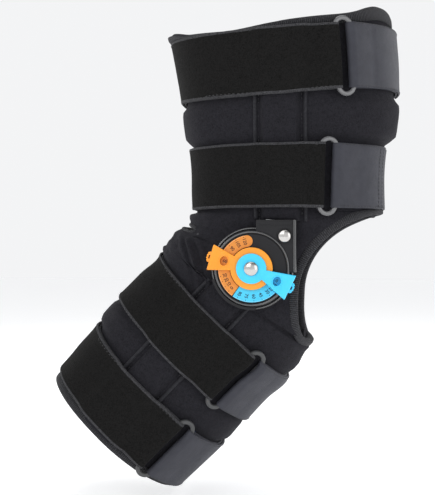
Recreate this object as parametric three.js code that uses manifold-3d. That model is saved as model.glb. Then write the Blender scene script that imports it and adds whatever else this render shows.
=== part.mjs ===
// Hinged knee brace with a dial hinge on each side of the knee, drawn bent as it is worn.
//
// Frame: the origin is on the hinge axis, midway between the two hinges. +X points forward, to the
// kneecap, +Y points to the inner side of a right leg, and +Z points up along the thigh. The calf
// parts are built on a straight leg, hanging down -Z, and a group turns them about +Y to the rest
// angle. Each hinge is built on the outer side, where w is the distance outwards from the middle of
// the leg (y = -w), and a mirrored copy makes the inner side.

import * as THREE from "three";
import { mergeVertices } from "three/addons/utils/BufferGeometryUtils.js";
import Module from "manifold-3d";

const wasm = await Module();
wasm.setup();

// ---------------------------------------------------------------- driving dimensions, mm and degrees

const REST_FLEXION = 44; // the knee angle that the part is drawn at
const FLEXION_SETTING = 60; // where the flexion stop is set on its scale
const EXTENSION_SETTING = 0; // where the extension stop is set on its scale
const GAP = 0.3; // between pieces that touch

const WRAP_THICKNESS = 5;
const WRAP_TOP = 181; // height of the wrap's top edge above the knee
const WRAP_END = 180; // its bottom edge, down the calf
const SIDES = 40; // facets round the leg

const STRAP_WIDTH = 48.5; // 50 mm webbing, measured across its pile
const STRAP_THICKNESS = 2;
const THIGH_STRAPS = [153, 70]; // the middle of each strap above the knee
const CALF_STRAPS = [72, 149]; // and down the calf
const RING_LENGTH = 60;
const RING_WIDTH = 16;
const RING_BAR = 3.5; // width of the ring's section
const RING_THICKNESS = 3.5;
const RING_LIFT = STRAP_THICKNESS + 1.6; // its underside above the leg's surface

const BAR_WIDTH = 22;
const BAR_THICKNESS = 2.5;
const BAR_OFFSET = 21; // the thigh bar stands this far forward of the dial
const THIGH_BAR_TOP = 170;
const CALF_BAR_END = 168;
const POCKET_HALF = 20.5;
const POCKET_TOP = 178;
const POCKET_END = 177;

const BASE_RADIUS = 31.3; // the lower cover, the dial's widest disc
const DIAL_RADIUS = 28.5;
const SCALE_RADIUS = 25.3;
const FLEXION_RING = 15.9;
const EXTENSION_RING = 11.4;
const CLIP_REACH = 32.3;
const CLIP_HALF_ANGLE = 17.3;
const HOOK_HALF_ANGLE = 14;
const TAB_HALF = 4;
const TAB_REACH = 35.2;
const PIVOT_RADIUS = 3;
const ARM_RIVET = [24.6, 24.3]; // x and z of the rivet through the thigh bar

// Where each layer of the hinge starts, outwards from the middle of the leg.
const W = {
  backing: 64,
  bar: 66.8,
  base: 69.6,
  dial: 72.6,
  scale: 76.9,
  clip: 77.7,
  top: 80.3,
  head: 82.5,
};
const SCALE_THICKNESS = 0.5;
const RIVET_HOLE = 2.7;
const TAB_FACE = W.clip + 1.3; // outer face of the release tabs

// Dial angles, seen from outside: 0 points forward and 90 up. One degree of knee is one degree of dial.
const FLEXION_ZERO = 224.4;
const EXTENSION_ZERO = 334;
const FLEXION_MARKS = [0, 10, 20, 30, 45, 60, 75, 90, 105, 120];
const EXTENSION_MARKS = [0, 10, 20, 30, 45, 60, 75, 90];
const STOP_PLAY = 1; // degrees left at each stop

// ---------------------------------------------------------------- colours

const BLACK_FABRIC = material(0x1d1d22, 0.95, 0);
const VELVET = material(0x121211, 1.0, 0);
const WEBBING = material(0x3a3a42, 0.7, 0);
const RING_PLASTIC = material(0x55575a, 0.4, 0);
const BLACK_PLASTIC = material(0x1c1c20, 0.35, 0);
const ORANGE_PLASTIC = material(0xf59a22, 0.4, 0);
const BLUE_PLASTIC = material(0x35c0f0, 0.4, 0);
const ORANGE_SCALE = material(0xe08a2a, 0.6, 0);
const BLUE_SCALE = material(0x35b4e4, 0.6, 0);
const ALUMINIUM = material(0xb8babd, 0.35, 1);
const STEEL = material(0xd8d8d8, 0.2, 1);
const FOAM = material(0x26262a, 0.9, 0);

function material(color, roughness, metalness) {
  return new THREE.MeshStandardMaterial({ color, roughness, metalness });
}

// ---------------------------------------------------------------- solids

const radians = THREE.MathUtils.degToRad;

function solid(geometry) {
  const bare = geometry.clone();
  bare.deleteAttribute("normal");
  bare.deleteAttribute("uv");
  const merged = mergeVertices(bare, 1e-4);
  const vertProperties = new Float32Array(merged.attributes.position.array);
  const triVerts = new Uint32Array(merged.index.array);
  return new wasm.Manifold(new wasm.Mesh({ numProp: 3, vertProperties, triVerts }));
}

function meshOf(name, shape, look) {
  const { numProp, numVert, vertProperties, triVerts } = shape.getMesh();
  const position = new Float32Array(numVert * 3);
  for (let i = 0; i < numVert; i++) {
    position.set(vertProperties.subarray(i * numProp, i * numProp + 3), i * 3);
  }
  const geometry = new THREE.BufferGeometry();
  geometry.setAttribute("position", new THREE.BufferAttribute(position, 3));
  geometry.setIndex(new THREE.BufferAttribute(new Uint32Array(triVerts), 1));
  geometry.computeVertexNormals();
  const mesh = new THREE.Mesh(geometry, look);
  mesh.name = name;
  return mesh;
}

// A closed body through rings of points: every ring has the same number of points and is simple.
function loft(drawn) {
  const clockwise = THREE.ShapeUtils.isClockWise(drawn[0]);
  const rings = clockwise ? drawn.map((ring) => [...ring].reverse()) : drawn;
  const count = rings[0].length;
  const position = rings.flat().flatMap((p) => [p.x, p.y, p.z]);
  const index = [];
  for (let k = 0; k + 1 < rings.length; k++) {
    for (let i = 0; i < count; i++) {
      const a = k * count + i;
      const b = k * count + ((i + 1) % count);
      index.push(a, b, a + count, b, b + count, a + count);
    }
  }
  const flat = rings[0].map((p) => new THREE.Vector2(p.x, p.y));
  const last = (rings.length - 1) * count;
  for (const [a, b, c] of THREE.ShapeUtils.triangulateShape(flat, [])) {
    index.push(a, c, b, last + a, last + b, last + c);
  }
  return facingOut(position, index);
}

// A closed tube wall: each station is an outer and an inner ring of points round the leg.
function tube(stations) {
  const count = stations[0].outer.length;
  const rows = [...stations.map((s) => s.outer), ...stations.map((s) => s.inner).reverse()];
  const position = rows.flat().flatMap((p) => [p.x, p.y, p.z]);
  const index = [];
  for (let k = 0; k < rows.length; k++) {
    const here = k * count;
    const next = ((k + 1) % rows.length) * count;
    for (let i = 0; i < count; i++) {
      const j = (i + 1) % count;
      index.push(here + i, here + j, next + i, here + j, next + j, next + i);
    }
  }
  return facingOut(position, index);
}

// The body of these triangles, turned round if they face inwards.
function facingOut(position, index) {
  const geometry = new THREE.BufferGeometry();
  geometry.setAttribute("position", new THREE.Float32BufferAttribute(position, 3));
  geometry.setIndex(index);
  const made = solid(geometry);
  if (made.volume() > 0) return made;
  geometry.setIndex(index.map((v, i) => index[i % 3 === 0 ? i : i % 3 === 1 ? i + 1 : i - 1]));
  return solid(geometry);
}

// An outline in x and z, as a plate from w0 to w1 outwards.
function plate(shape, w0, w1, curveSegments = 8) {
  const geometry = new THREE.ExtrudeGeometry(shape, { depth: w1 - w0, bevelEnabled: false, curveSegments });
  geometry.rotateX(Math.PI / 2);
  geometry.translate(0, -w0, 0);
  return solid(geometry);
}

function polygon(points) {
  return new THREE.Shape(points.map(([x, z]) => new THREE.Vector2(x, z)));
}

function roundedBox(x0, x1, z0, z1, r) {
  const shape = new THREE.Shape();
  shape.moveTo(x0 + r, z0);
  shape.lineTo(x1 - r, z0).absarc(x1 - r, z0 + r, r, -Math.PI / 2, 0);
  shape.lineTo(x1, z1 - r).absarc(x1 - r, z1 - r, r, 0, Math.PI / 2);
  shape.lineTo(x0 + r, z1).absarc(x0 + r, z1 - r, r, Math.PI / 2, Math.PI);
  shape.lineTo(x0, z0 + r).absarc(x0 + r, z0 + r, r, Math.PI, 1.5 * Math.PI);
  return shape;
}

// A part of a ring between two radii and two dial angles.
function sector(r0, r1, from, to) {
  const shape = new THREE.Shape();
  shape.absarc(0, 0, r1, radians(from), radians(to), false);
  shape.absarc(0, 0, r0, radians(to), radians(from), true);
  return shape;
}

// A body turned about the hinge axis from [radius, w] points, listed from the outside inwards.
function turned(profile, segments = 28) {
  const points = profile.map(([r, w]) => new THREE.Vector2(r, -w));
  const closed = profile[0][0] > 0 ? [...points, points[0].clone()] : points;
  return solid(new THREE.LatheGeometry(closed, segments));
}

function disc(radius, w0, w1, x = 0, z = 0, segments = 24) {
  const geometry = new THREE.CylinderGeometry(radius, radius, w1 - w0, segments);
  geometry.translate(x, -(w0 + w1) / 2, z);
  return solid(geometry);
}

function joined(shapes) {
  return shapes.reduce((all, one) => all.add(one));
}

// ---------------------------------------------------------------- the leg's surface

// Height above the knee or distance down the calf, centre forward of the hinge, half depth, half width.
// The wrap is drawn in under each strap and stands full between them.
const THIGH = [
  [45, 23.8, 74.5, 66.5],
  [70, 23.5, 74.5, 68.8],
  [95, 23.5, 76.5, 71.05],
  [103, 25, 84, 71.8],
  [122, 25, 86.2, 73.5],
  [128, 24.7, 83.3, 74],
  [153, 22.3, 84.9, 76.25],
  [WRAP_TOP, 18.6, 86.5, 78.8],
];
const CALF = [
  [45, 4, 70.3, 62],
  [47.5, 6.1, 68, 61.95],
  [72, 6, 68, 61.1],
  [96.5, 6, 68.7, 60.25],
  [103, 6, 71, 60],
  [118, 6.4, 70.8, 59.5],
  [124.5, 7.7, 67, 59.3],
  [149, 8, 66, 58.4],
  [173.5, 8.3, 64.7, 57.55],
  [WRAP_END, 8, 66.2, 57.3],
];
// Between them the sections fan out from a line behind the knee. Share of the bend, centre from that
// line, half depth, half width and squareness.
const KNEE = [
  [0, 135.2, 74.5, 66.5, 2.3],
  [0.06, 134.4, 78.2, 65.8, 2.4],
  [0.15, 132, 76, 64.6, 2.5],
  [0.3, 128.5, 74, 63.4, 2.8],
  [0.5, 125, 72.5, 63, 2.9],
  [0.7, 120.6, 71.4, 62.8, 2.8],
  [0.85, 117.8, 70.5, 62.5, 2.5],
  [1, 115.4, 70.3, 62, 2.3],
];
const SQUARENESS = 2.3;
// Above RISE_FROM the thigh wrap's sections are tilted. These are shares of the height above it.
const RISE_FROM = 80;
const SIDE_RISE = 0.027;
const FRONT_RISE = 0.103; // more in front than at the side
const BACK_DROP = 0.048; // less behind the side
const BACK_RISE = 0.062; // and up again close to the back

const bend = radians(REST_FLEXION);
const fanLine = { x: -(CALF[0][0] + THIGH[0][0] * Math.cos(bend)) / Math.sin(bend), z: THIGH[0][0] };

// A row of the table at a place between its rows.
function between(table, at) {
  const last = table.length - 1;
  const k = Math.min(last - 1, Math.max(0, table.findIndex((row) => row[0] >= at) - 1));
  const share = (at - table[k][0]) / (table[k + 1][0] - table[k][0]);
  return table[k].map((v, i) => v + (table[k + 1][i] - v) * share);
}

function thighStation(height) {
  const [, centre, a, b] = between(THIGH, height);
  return { x: centre, z: height, forward: [1, 0], a, b, n: SQUARENESS };
}

function kneeStation(share) {
  const [, reach, a, b, n] = between(KNEE, share);
  const forward = [Math.cos(bend * share), -Math.sin(bend * share)];
  return { x: fanLine.x + reach * forward[0], z: fanLine.z + reach * forward[1], forward, a, b, n };
}

// On a straight leg, as the calf's own parts are built.
function calfStation(distance) {
  const [, centre, a, b] = between(CALF, distance);
  return { x: centre, z: -distance, forward: [1, 0], a, b, n: SQUARENESS };
}

function bent(station) {
  const { x, z } = station;
  const [c, s] = [Math.cos(bend), Math.sin(bend)];
  return { ...station, x: x * c + z * s, z: -x * s + z * c, forward: [c, -s] };
}

// A point at a bearing round the leg, 0 in front and 90 on the inner side, h outside the surface.
// above is the height above RISE_FROM, in mm.
function legPoint(station, bearing, h, above = 0) {
  const c = Math.cos(radians(bearing));
  const s = Math.sin(radians(bearing));
  const { a, b, n } = station;
  const r = (Math.abs(c / a) ** n + Math.abs(s / b) ** n) ** (-1 / n);
  const slopeC = (Math.sign(c) * Math.abs((r * c) / a) ** (n - 1)) / a;
  const slopeS = (Math.sign(s) * Math.abs((r * s) / b) ** (n - 1)) / b;
  const normal = h / Math.hypot(slopeC, slopeS);
  const ahead = r * c + slopeC * normal;
  const across = r * s + slopeS * normal;
  const behind = Math.max(0, -c);
  const lift = above * (SIDE_RISE + FRONT_RISE * Math.max(0, c) - BACK_DROP * behind + BACK_RISE * behind ** 4);
  const [fx, fz] = station.forward;
  return new THREE.Vector3(station.x + ahead * fx, across, station.z + ahead * fz + lift);
}

function aboveLevel(height) {
  return Math.max(0, height - RISE_FROM);
}

// Where the surface stands on the side of the leg, at x on that station's own forward line.
function sideReach(station, x) {
  const { a, b, n } = station;
  return b * (1 - Math.abs((x - station.x) / a) ** n) ** (1 / n);
}

// ---------------------------------------------------------------- wrap

function wrapPieces() {
  const walls = [
    ...[...THIGH].reverse().map((row) => [thighStation(row[0]), aboveLevel(row[0])]),
    ...KNEE.slice(1, -1).map((row) => [kneeStation(row[0]), 0]),
    ...CALF.map((row) => [bent(calfStation(row[0])), 0]),
  ];
  const bearings = Array.from({ length: SIDES }, (_, i) => (i * 360) / SIDES);
  const sleeve = tube(
    walls.map(([station, above]) => ({
      outer: bearings.map((d) => legPoint(station, d, 0, above)),
      inner: bearings.map((d) => legPoint(station, d, -WRAP_THICKNESS, above)),
    })),
  );
  const open = sleeve.subtract(through(kneecapOpening())).subtract(through(backOpening()));
  const far = 400;
  const thighEnd = polygon([[-far, SPLIT_ABOVE], [far, SPLIT_ABOVE], [far, far], [-far, far]]);
  const calfEnd = polygon([...SPLIT_BELOW, [far, -far], [-far, -far]].map(straightToBent));
  const middle = open.subtract(through(thighEnd, GAP)).subtract(through(calfEnd, GAP));
  const outerHalf = plate(polygon([[-far, -far], [far, -far], [far, far], [-far, far]]), 0, far);
  return {
    thigh: open.intersect(through(thighEnd)),
    calf: open.intersect(through(calfEnd)),
    side: middle.intersect(outerHalf),
  };
}

const SPLIT_ABOVE = 40; // the thigh wrap ends and the side panels begin
// The same for the calf, on a straight leg: across the shin it starts nearer the knee.
const SPLIT_BELOW = [[-400, -37], [14, -37], [37, -10], [400, -10]];

function straightToBent([x, z]) {
  return [x * Math.cos(bend) + z * Math.sin(bend), -x * Math.sin(bend) + z * Math.cos(bend)];
}

// A cutter right through the leg, grown by a margin.
function through(shape, margin = 0) {
  const cutter = plate(shape, -200, 200);
  if (!margin) return cutter;
  const around = [[0, margin], [0, -margin], [margin, 0], [-margin, 0]];
  return joined([cutter, ...around.map(([x, z]) => cutter.translate([x, 0, z]))]);
}

function kneecapOpening() {
  const [shinX, shinZ] = straightToBent([66, -10]);
  const [farX, farZ] = straightToBent([160, -10]);
  const shape = new THREE.Shape();
  shape.moveTo(160, 43);
  shape.lineTo(104, 43);
  shape.bezierCurveTo(62, 38, 36, 12, 34.5, -20);
  shape.quadraticCurveTo(33.5, -42, shinX, shinZ);
  shape.lineTo(farX, farZ);
  return shape;
}

// Behind the knee the two halves' edges meet in a point and leave a wedge open.
function backOpening() {
  const [cornerX, cornerZ] = straightToBent([-44, -37]);
  const [pointX, pointZ] = straightToBent([-(44 + 37 * Math.cos(bend)) / Math.sin(bend), -37]);
  const shape = new THREE.Shape();
  shape.moveTo(pointX, pointZ);
  shape.lineTo(cornerX, cornerZ);
  shape.quadraticCurveTo(-40, 20, -50, 44);
  return shape;
}

// ---------------------------------------------------------------- bar pockets

// Half of the pocket's section, from its sewn edge over the bar: distance from its middle, height.
const POCKET_OUTSIDE = [[POCKET_HALF, 0.4], [POCKET_HALF, 1.4], [14.5, 1.6], [12.6, 6]];
const POCKET_INSIDE = [[11.9, 4.9], [13.2, 0.4]];

function pocket(stations, middleX) {
  const mirrored = (points) => points.map(([x, h]) => [-x, h]).reverse();
  const right = POCKET_OUTSIDE;
  const section = [...right, ...mirrored(right), ...mirrored(POCKET_INSIDE), ...POCKET_INSIDE];
  const point = (station, x, h) => {
    return new THREE.Vector3(middleX + x, -(sideReach(station, middleX + x) + h), station.z);
  };
  return loft(stations.map((station) => section.map(([x, h]) => point(station, x, h))));
}

// How far a strap stands out where it crosses a pocket.
function pocketBump(offset) {
  const away = Math.abs(offset);
  const steps = [[0, 6.3], [19.5, 6.3], [23, 1.5], [26, 0], [1000, 0]];
  return between(steps, Math.max(away, 1e-6))[1];
}

// ---------------------------------------------------------------- straps and rings

// A strip that comes round the leg, turns back through the ring and lies on itself. q is the distance
// from the ring's middle in mm, and sense is the way round the leg that the strip goes.
function ringStrip(stations, above, { bearing, sense, under, over, pocketX }) {
  const near = [-1, 1].map((d) => legPoint(stations[1], bearing + d, 0));
  const perMm = 2 / near[0].distanceTo(near[1]);
  const slot = 1;
  const fold = slot + STRAP_THICKNESS;
  const landing = 26;
  const inner = 0.6;
  const innerTop = inner + STRAP_THICKNESS;
  const outer = innerTop + 0.4;
  const lifted = RING_LIFT + RING_THICKNESS + 0.4;
  const steps = (from, to, h) => {
    const count = Math.ceil(Math.abs(to - from) / 9);
    return Array.from({ length: count + 1 }, (_, i) => [from + ((to - from) * i) / count, h]);
  };
  const section = [
    ...steps(under / perMm, slot, inner),
    [slot, lifted + STRAP_THICKNESS],
    [9, lifted + STRAP_THICKNESS + 1.6],
    ...steps(landing, over / perMm, outer + STRAP_THICKNESS),
    ...steps(over / perMm, landing, outer),
    [9, lifted + 1.6],
    [fold, lifted],
    ...steps(fold, under / perMm, innerTop),
  ];
  return loft(
    stations.map((station) => {
      return section.map(([q, h]) => {
        const direction = bearing + sense * q * perMm;
        const bare = legPoint(station, direction, 0);
        const onSide = Math.abs(Math.sin(radians(direction))) > 0.6;
        const bump = onSide ? pocketBump(bare.x - pocketX) : 0;
        return legPoint(station, direction, h + bump, above);
      });
    }),
  );
}

function ringShape() {
  const stadium = (length, width) => {
    const r = width / 2;
    const flat = length / 2 - r;
    const path = new THREE.Path();
    path.absarc(flat, 0, r, -Math.PI / 2, Math.PI / 2);
    path.absarc(-flat, 0, r, Math.PI / 2, 1.5 * Math.PI);
    return path;
  };
  const shape = new THREE.Shape(stadium(RING_LENGTH, RING_WIDTH).getPoints(8));
  const halfSlot = STRAP_WIDTH / 2 + 2;
  const slot = roundedBox(-halfSlot, halfSlot, RING_BAR - RING_WIDTH / 2, RING_WIDTH / 2 - RING_BAR, 1);
  shape.holes.push(new THREE.Path(slot.getPoints(3)));
  return shape;
}

// A ring lying on the leg, its long way along the leg.
function strapRing(name, stations, above, bearing) {
  const at = (k, direction) => legPoint(stations[k], direction, 0, above);
  const length = at(2, bearing).sub(at(0, bearing)).normalize();
  const round = at(1, bearing + 1).sub(at(1, bearing - 1)).normalize();
  const out = new THREE.Vector3().crossVectors(round, length).normalize();
  if (out.dot(at(1, bearing).setX(0).setZ(0)) < 0) out.negate();
  const across = new THREE.Vector3().crossVectors(out, length);
  const geometry = new THREE.ExtrudeGeometry(ringShape(), {
    depth: RING_THICKNESS,
    bevelEnabled: false,
    curveSegments: 1,
  });
  const ring = meshOf(name, solid(geometry), RING_PLASTIC);
  ring.quaternion.setFromRotationMatrix(new THREE.Matrix4().makeBasis(length, across, out));
  ring.position.copy(at(1, bearing).addScaledVector(out, RING_LIFT));
  return ring;
}

// One strap: the velvet strip, its ring, and the webbing tab that holds the ring. A strap doesn't
// stretch, so all of it rises as its middle does.
function strapSet(name, station, middle, above, pocketX, { bearing, strapDouble, tabDouble }) {
  const rows = [middle - STRAP_WIDTH / 2, middle, middle + STRAP_WIDTH / 2];
  const stations = rows.map(station);
  const strap = { bearing, sense: -1, under: 196, over: strapDouble, pocketX };
  const tab = { bearing, sense: 1, under: 132, over: tabDouble, pocketX };
  return [
    meshOf(`${name}_strap`, ringStrip(stations, above, strap), VELVET),
    meshOf(`${name}_ring_tab`, ringStrip(stations, above, tab), WEBBING),
    strapRing(`${name}_ring`, stations, above, bearing),
  ];
}

// ---------------------------------------------------------------- hinge

// A flat bar bent outwards or inwards: its inner face passes through [z, w] points.
function bar(face, outline) {
  const inside = face.map(([z, w]) => [w, z]);
  const outside = inside.map(([w, z]) => [w + BAR_THICKNESS, z]).reverse();
  const shape = polygon([...inside, ...outside]);
  const geometry = new THREE.ExtrudeGeometry(shape, { depth: 100, bevelEnabled: false });
  // drawn in w and z, extruded across the leg: w becomes -y, the shape's y becomes z, depth becomes x
  const turn = new THREE.Matrix4().set(0, 0, 1, -50, -1, 0, 0, 0, 0, 1, 0, 0, 0, 0, 0, 1);
  geometry.applyMatrix4(turn);
  return facingOutSolid(geometry).intersect(plate(outline, 40, 120, 3));
}

function facingOutSolid(geometry) {
  const merged = mergeVertices(stripped(geometry), 1e-4);
  return facingOut(Array.from(merged.attributes.position.array), Array.from(merged.index.array));
}

function stripped(geometry) {
  geometry.deleteAttribute("normal");
  geometry.deleteAttribute("uv");
  return geometry;
}

function thighBar() {
  const [low, high] = [BAR_OFFSET - BAR_WIDTH / 2, BAR_OFFSET + BAR_WIDTH / 2];
  const outline = roundedBox(low, high, 12, THIGH_BAR_TOP, 4);
  const face = [[0, W.bar], [45, W.bar], [200, W.bar + 0.09 * 155]];
  const hole = disc(RIVET_HOLE, 40, 120, ...ARM_RIVET, 12);
  return bar(face, outline).subtract(hole);
}

// Built on a straight leg, with a round hub about the pivot.
function calfBar() {
  const half = BAR_WIDTH / 2;
  const hub = 14;
  const shape = roundedBox(-half, half, -CALF_BAR_END, 0, 4);
  const face = [[20, W.bar], [-16, W.bar], [-34, 62.9], [-200, 62.9 - 0.035 * 166]];
  const arm = bar(face, shape);
  const withHub = arm.add(disc(hub, W.bar, W.bar + BAR_THICKNESS));
  return withHub.subtract(disc(PIVOT_RADIUS + GAP, 40, 120, 0, 0, 16));
}

// The lower cover turns with the calf. Its raised lug runs between the two stops' hooks.
function lowerCover() {
  const face = W.base + 2.7;
  const hole = PIVOT_RADIUS + GAP;
  const base = turned([
    [hole, face],
    [30.4, face],
    [BASE_RADIUS, face - 0.9],
    [BASE_RADIUS, W.base],
    [hole, W.base],
  ]);
  const reach = HOOK_HALF_ANGLE + STOP_PLAY;
  const lead = FLEXION_ZERO - FLEXION_SETTING + reach + FLEXION_SETTING;
  const trail = EXTENSION_ZERO - EXTENSION_SETTING - reach + EXTENSION_SETTING;
  return base.add(plate(sector(29, BASE_RADIUS, lead, trail), face - 0.5, W.dial + 3.4, 20));
}

function upperCover() {
  const face = W.dial + 4;
  const rim = W.scale + SCALE_THICKNESS;
  const hole = PIVOT_RADIUS + GAP;
  const profile = [
    [hole, face],
    [26.2, face],
    [26.9, rim],
    [27.9, rim],
    [DIAL_RADIUS, rim - 0.6],
    [DIAL_RADIUS, W.dial],
    [hole, W.dial],
  ];
  const dial = turned(profile, 40);
  const block = plate(roundedBox(3.2, 33.2, -3, 36.6, 1.5), W.base, face - 0.4, 3);
  const rib = plate(roundedBox(31, 33.2, -3, 36.6, 1), face - 0.5, face + 0.3, 3);
  const turning = disc(BASE_RADIUS + 0.4, 40, W.dial, 0, 0, 40);
  const rivetHole = disc(RIVET_HOLE, 40, 120, ...ARM_RIVET, 12);
  const arm = block.add(rib).subtract(turning).subtract(disc(20, 40, 120)).subtract(rivetHole);
  return dial.add(arm).subtract(joined(notches()));
}

// A notch in the dial's rim at each mark, for the release tab's tooth.
function notches() {
  const marks = [
    ...FLEXION_MARKS.map((m) => FLEXION_ZERO - m),
    ...EXTENSION_MARKS.map((m) => EXTENSION_ZERO - m),
  ];
  return marks.map((angle) => {
    const shape = polygon([[27.2, 0], [29.5, -1.4], [29.5, 1.4]]);
    return plate(shape, W.dial + 1, W.dial + 3).rotate([0, -angle, 0]);
  });
}

function flexionScale() {
  const middle = (EXTENSION_RING + SCALE_RADIUS) / 2 + 2;
  const half = SCALE_RADIUS - middle;
  const start = 101;
  const top = W.scale + SCALE_THICKNESS;
  const band = plate(sector(middle - half, SCALE_RADIUS, start, 234), W.scale, top, 14);
  const endX = middle * Math.cos(radians(start));
  const endZ = middle * Math.sin(radians(start));
  return band.add(disc(half, W.scale, top, endX, endZ, 20));
}

function extensionScale() {
  return plate(sector(13.5, SCALE_RADIUS, 235.5, 345), W.scale, W.scale + SCALE_THICKNESS, 12);
}

// A stop, drawn with its arm forward. The arm widens outwards, shows a number through its window, and
// hooks over the dial's rim into the lug's path on both sides of the release tab.
function stopClip(ringRadius, ringW, thickness) {
  const spread = Math.tan(radians(CLIP_HALF_ANGLE));
  const wedge = (from) => {
    const edge = [[from, from * spread], [CLIP_REACH, CLIP_REACH * spread]];
    return polygon([...edge.map(([x, z]) => [x, -z]), ...edge.reverse()]);
  };
  const top = ringW + thickness;
  const ring = disc(ringRadius, ringW, top, 0, 0, 28);
  const arm = plate(wedge(2), ringW, top);
  const foot = plate(wedge(FLEXION_RING + 0.6), W.clip, top);
  const rim = sector(29, CLIP_REACH, -HOOK_HALF_ANGLE, HOOK_HALF_ANGLE);
  const hook = plate(rim, W.base + 3.3, W.clip + 0.2, 6);
  const room = TAB_HALF + 0.4;
  const tabRoom = plate(roundedBox(25.2, 40, -room, room, 0.2), 60, W.clip + 1.6, 1);
  const window = disc(3, 40, 120, 21.4, 0, 12);
  const pivot = disc(PIVOT_RADIUS + GAP, 40, 120, 0, 0, 16);
  return ring.add(arm).add(foot).add(hook).subtract(tabRoom).subtract(window).subtract(pivot);
}

// The release tab slides outwards in the stop's end. Its finger edge is scalloped.
function releaseTab() {
  const steps = 16;
  const edge = Array.from({ length: steps + 1 }, (_, i) => {
    const z = TAB_HALF * ((2 * i) / steps - 1);
    return [TAB_REACH - 0.08 * z * z - 0.5 * (1 - Math.abs(Math.sin((Math.PI * z) / 2))), z];
  });
  const flat = plate(polygon([[27, -TAB_HALF], ...edge, [27, TAB_HALF]]), W.clip + 0.2, TAB_FACE);
  const tooth = plate(roundedBox(28.8, 30.2, -1.2, 1.2, 0.2), W.dial + 1.6, W.clip + 0.4, 1);
  return flat.add(tooth).subtract(disc(0.6, 40, 120, 33.3, 0, 12));
}

// A leaf spring folded to and fro between the tab and the stop.
function releaseSpring() {
  const leaf = 0.3;
  const folds = 6;
  const depth = 1;
  const front = Array.from({ length: folds + 1 }, (_, i) => {
    return [25.45 + (i % 2) * depth, -3.6 + (7.2 * i) / folds];
  });
  const back = [...front].reverse().map(([x, z]) => [x + leaf, z]);
  return plate(polygon([...front, ...back]), W.clip + 0.4, TAB_FACE);
}

// A rivet from its domed head, given from the middle out, down its shank to its clenched foot.
function rivet(head, shankRadius, footRadius, footTop, footBottom) {
  const seat = head[head.length - 1][1];
  const shank = [[shankRadius, seat], [shankRadius, footTop]];
  const foot = [[footRadius, footTop], [footRadius, footBottom], [0, footBottom]];
  return turned([...head, ...shank, ...foot], 16);
}

function pivotRivet() {
  const dome = [[0, 2.9], [2.6, 2.6], [4.6, 1.5], [5.4, 0.3], [5.4, 0]];
  return rivet(dome.map(([r, h]) => [r, W.head + h]), PIVOT_RADIUS, 6, 66.4, 65.3);
}

function armRivet() {
  const face = W.dial + 3.9;
  const dome = [[0, 2.2], [2.2, 2], [4.1, 1], [4.7, 0.2], [4.7, 0]];
  const made = rivet(dome.map(([r, h]) => [r, face + h]), 2.4, 3.8, 66.5, 65.5);
  return made.translate([ARM_RIVET[0], 0, ARM_RIVET[1]]);
}

function pivotBacking() {
  const face = W.backing + 2.4;
  return turned([[6.5, face], [15, face], [15, W.backing], [6.5, W.backing]], 24);
}

function condylePad() {
  return turned([[0, 55.5], [22, 55.5], [26, 53], [26, 48.5], [25, 47.5], [0, 47.5]], 24);
}

// Turns a stop's pieces from pointing forward to a dial angle.
function atDial(angle, meshes) {
  const group = new THREE.Group();
  group.rotation.y = -radians(angle);
  group.add(...meshes);
  return group;
}

function hinge(side, sidePanel) {
  const clip = (name, ring, w, look, angle) => {
    return atDial(angle, [
      meshOf(`${name}_stop_${side}`, stopClip(ring, w, w === W.clip ? 2.3 : 1.9), look),
      meshOf(`${name}_release_tab_${side}`, releaseTab(), look),
      meshOf(`${name}_release_spring_${side}`, releaseSpring(), STEEL),
    ]);
  };
  const heights = [...THIGH.slice(0, -1).map((row) => row[0]), POCKET_TOP];
  const thighSide = [
    meshOf(`thigh_bar_${side}`, thighBar(), ALUMINIUM),
    meshOf(`upper_cover_${side}`, upperCover(), BLACK_PLASTIC),
    meshOf(`flexion_scale_${side}`, flexionScale(), ORANGE_SCALE),
    meshOf(`extension_scale_${side}`, extensionScale(), BLUE_SCALE),
    meshOf(`pivot_rivet_${side}`, pivotRivet(), STEEL),
    meshOf(`thigh_bar_rivet_${side}`, armRivet(), STEEL),
    meshOf(`pivot_backing_${side}`, pivotBacking(), BLACK_PLASTIC),
    meshOf(`condyle_pad_${side}`, condylePad(), FOAM),
    meshOf(`side_panel_${side}`, sidePanel, BLACK_FABRIC),
    meshOf(`thigh_bar_pocket_${side}`, pocket(heights.map(thighStation), BAR_OFFSET), BLACK_FABRIC),
  ];
  const distances = [...CALF.slice(0, -1).map((row) => row[0]), POCKET_END];
  const calfSide = new THREE.Group();
  calfSide.rotation.y = bend;
  calfSide.add(
    meshOf(`calf_bar_${side}`, calfBar(), ALUMINIUM),
    meshOf(`lower_cover_${side}`, lowerCover(), BLACK_PLASTIC),
    meshOf(`calf_bar_pocket_${side}`, pocket(distances.map(calfStation), 0), BLACK_FABRIC),
  );
  const group = new THREE.Group();
  group.add(
    ...thighSide,
    calfSide,
    clip("flexion", FLEXION_RING, W.clip, ORANGE_PLASTIC, FLEXION_ZERO - FLEXION_SETTING),
    clip("extension", EXTENSION_RING, W.top, BLUE_PLASTIC, EXTENSION_ZERO - EXTENSION_SETTING),
  );
  return group;
}

// ---------------------------------------------------------------- the brace

const brace = new THREE.Group();
const wrap = wrapPieces();
brace.add(meshOf("thigh_wrap", wrap.thigh, BLACK_FABRIC), meshOf("calf_wrap", wrap.calf, BLACK_FABRIC));

brace.add(hinge("outer", wrap.side));
const inner = hinge("inner", wrap.side);
inner.scale.y = -1;
brace.add(inner);

function addStraps(parent, names, middles, station, above, pocketX, rings) {
  names.forEach((name, k) => {
    parent.add(...strapSet(name, station, middles[k], above(middles[k]), pocketX, rings[k]));
  });
}

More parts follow.
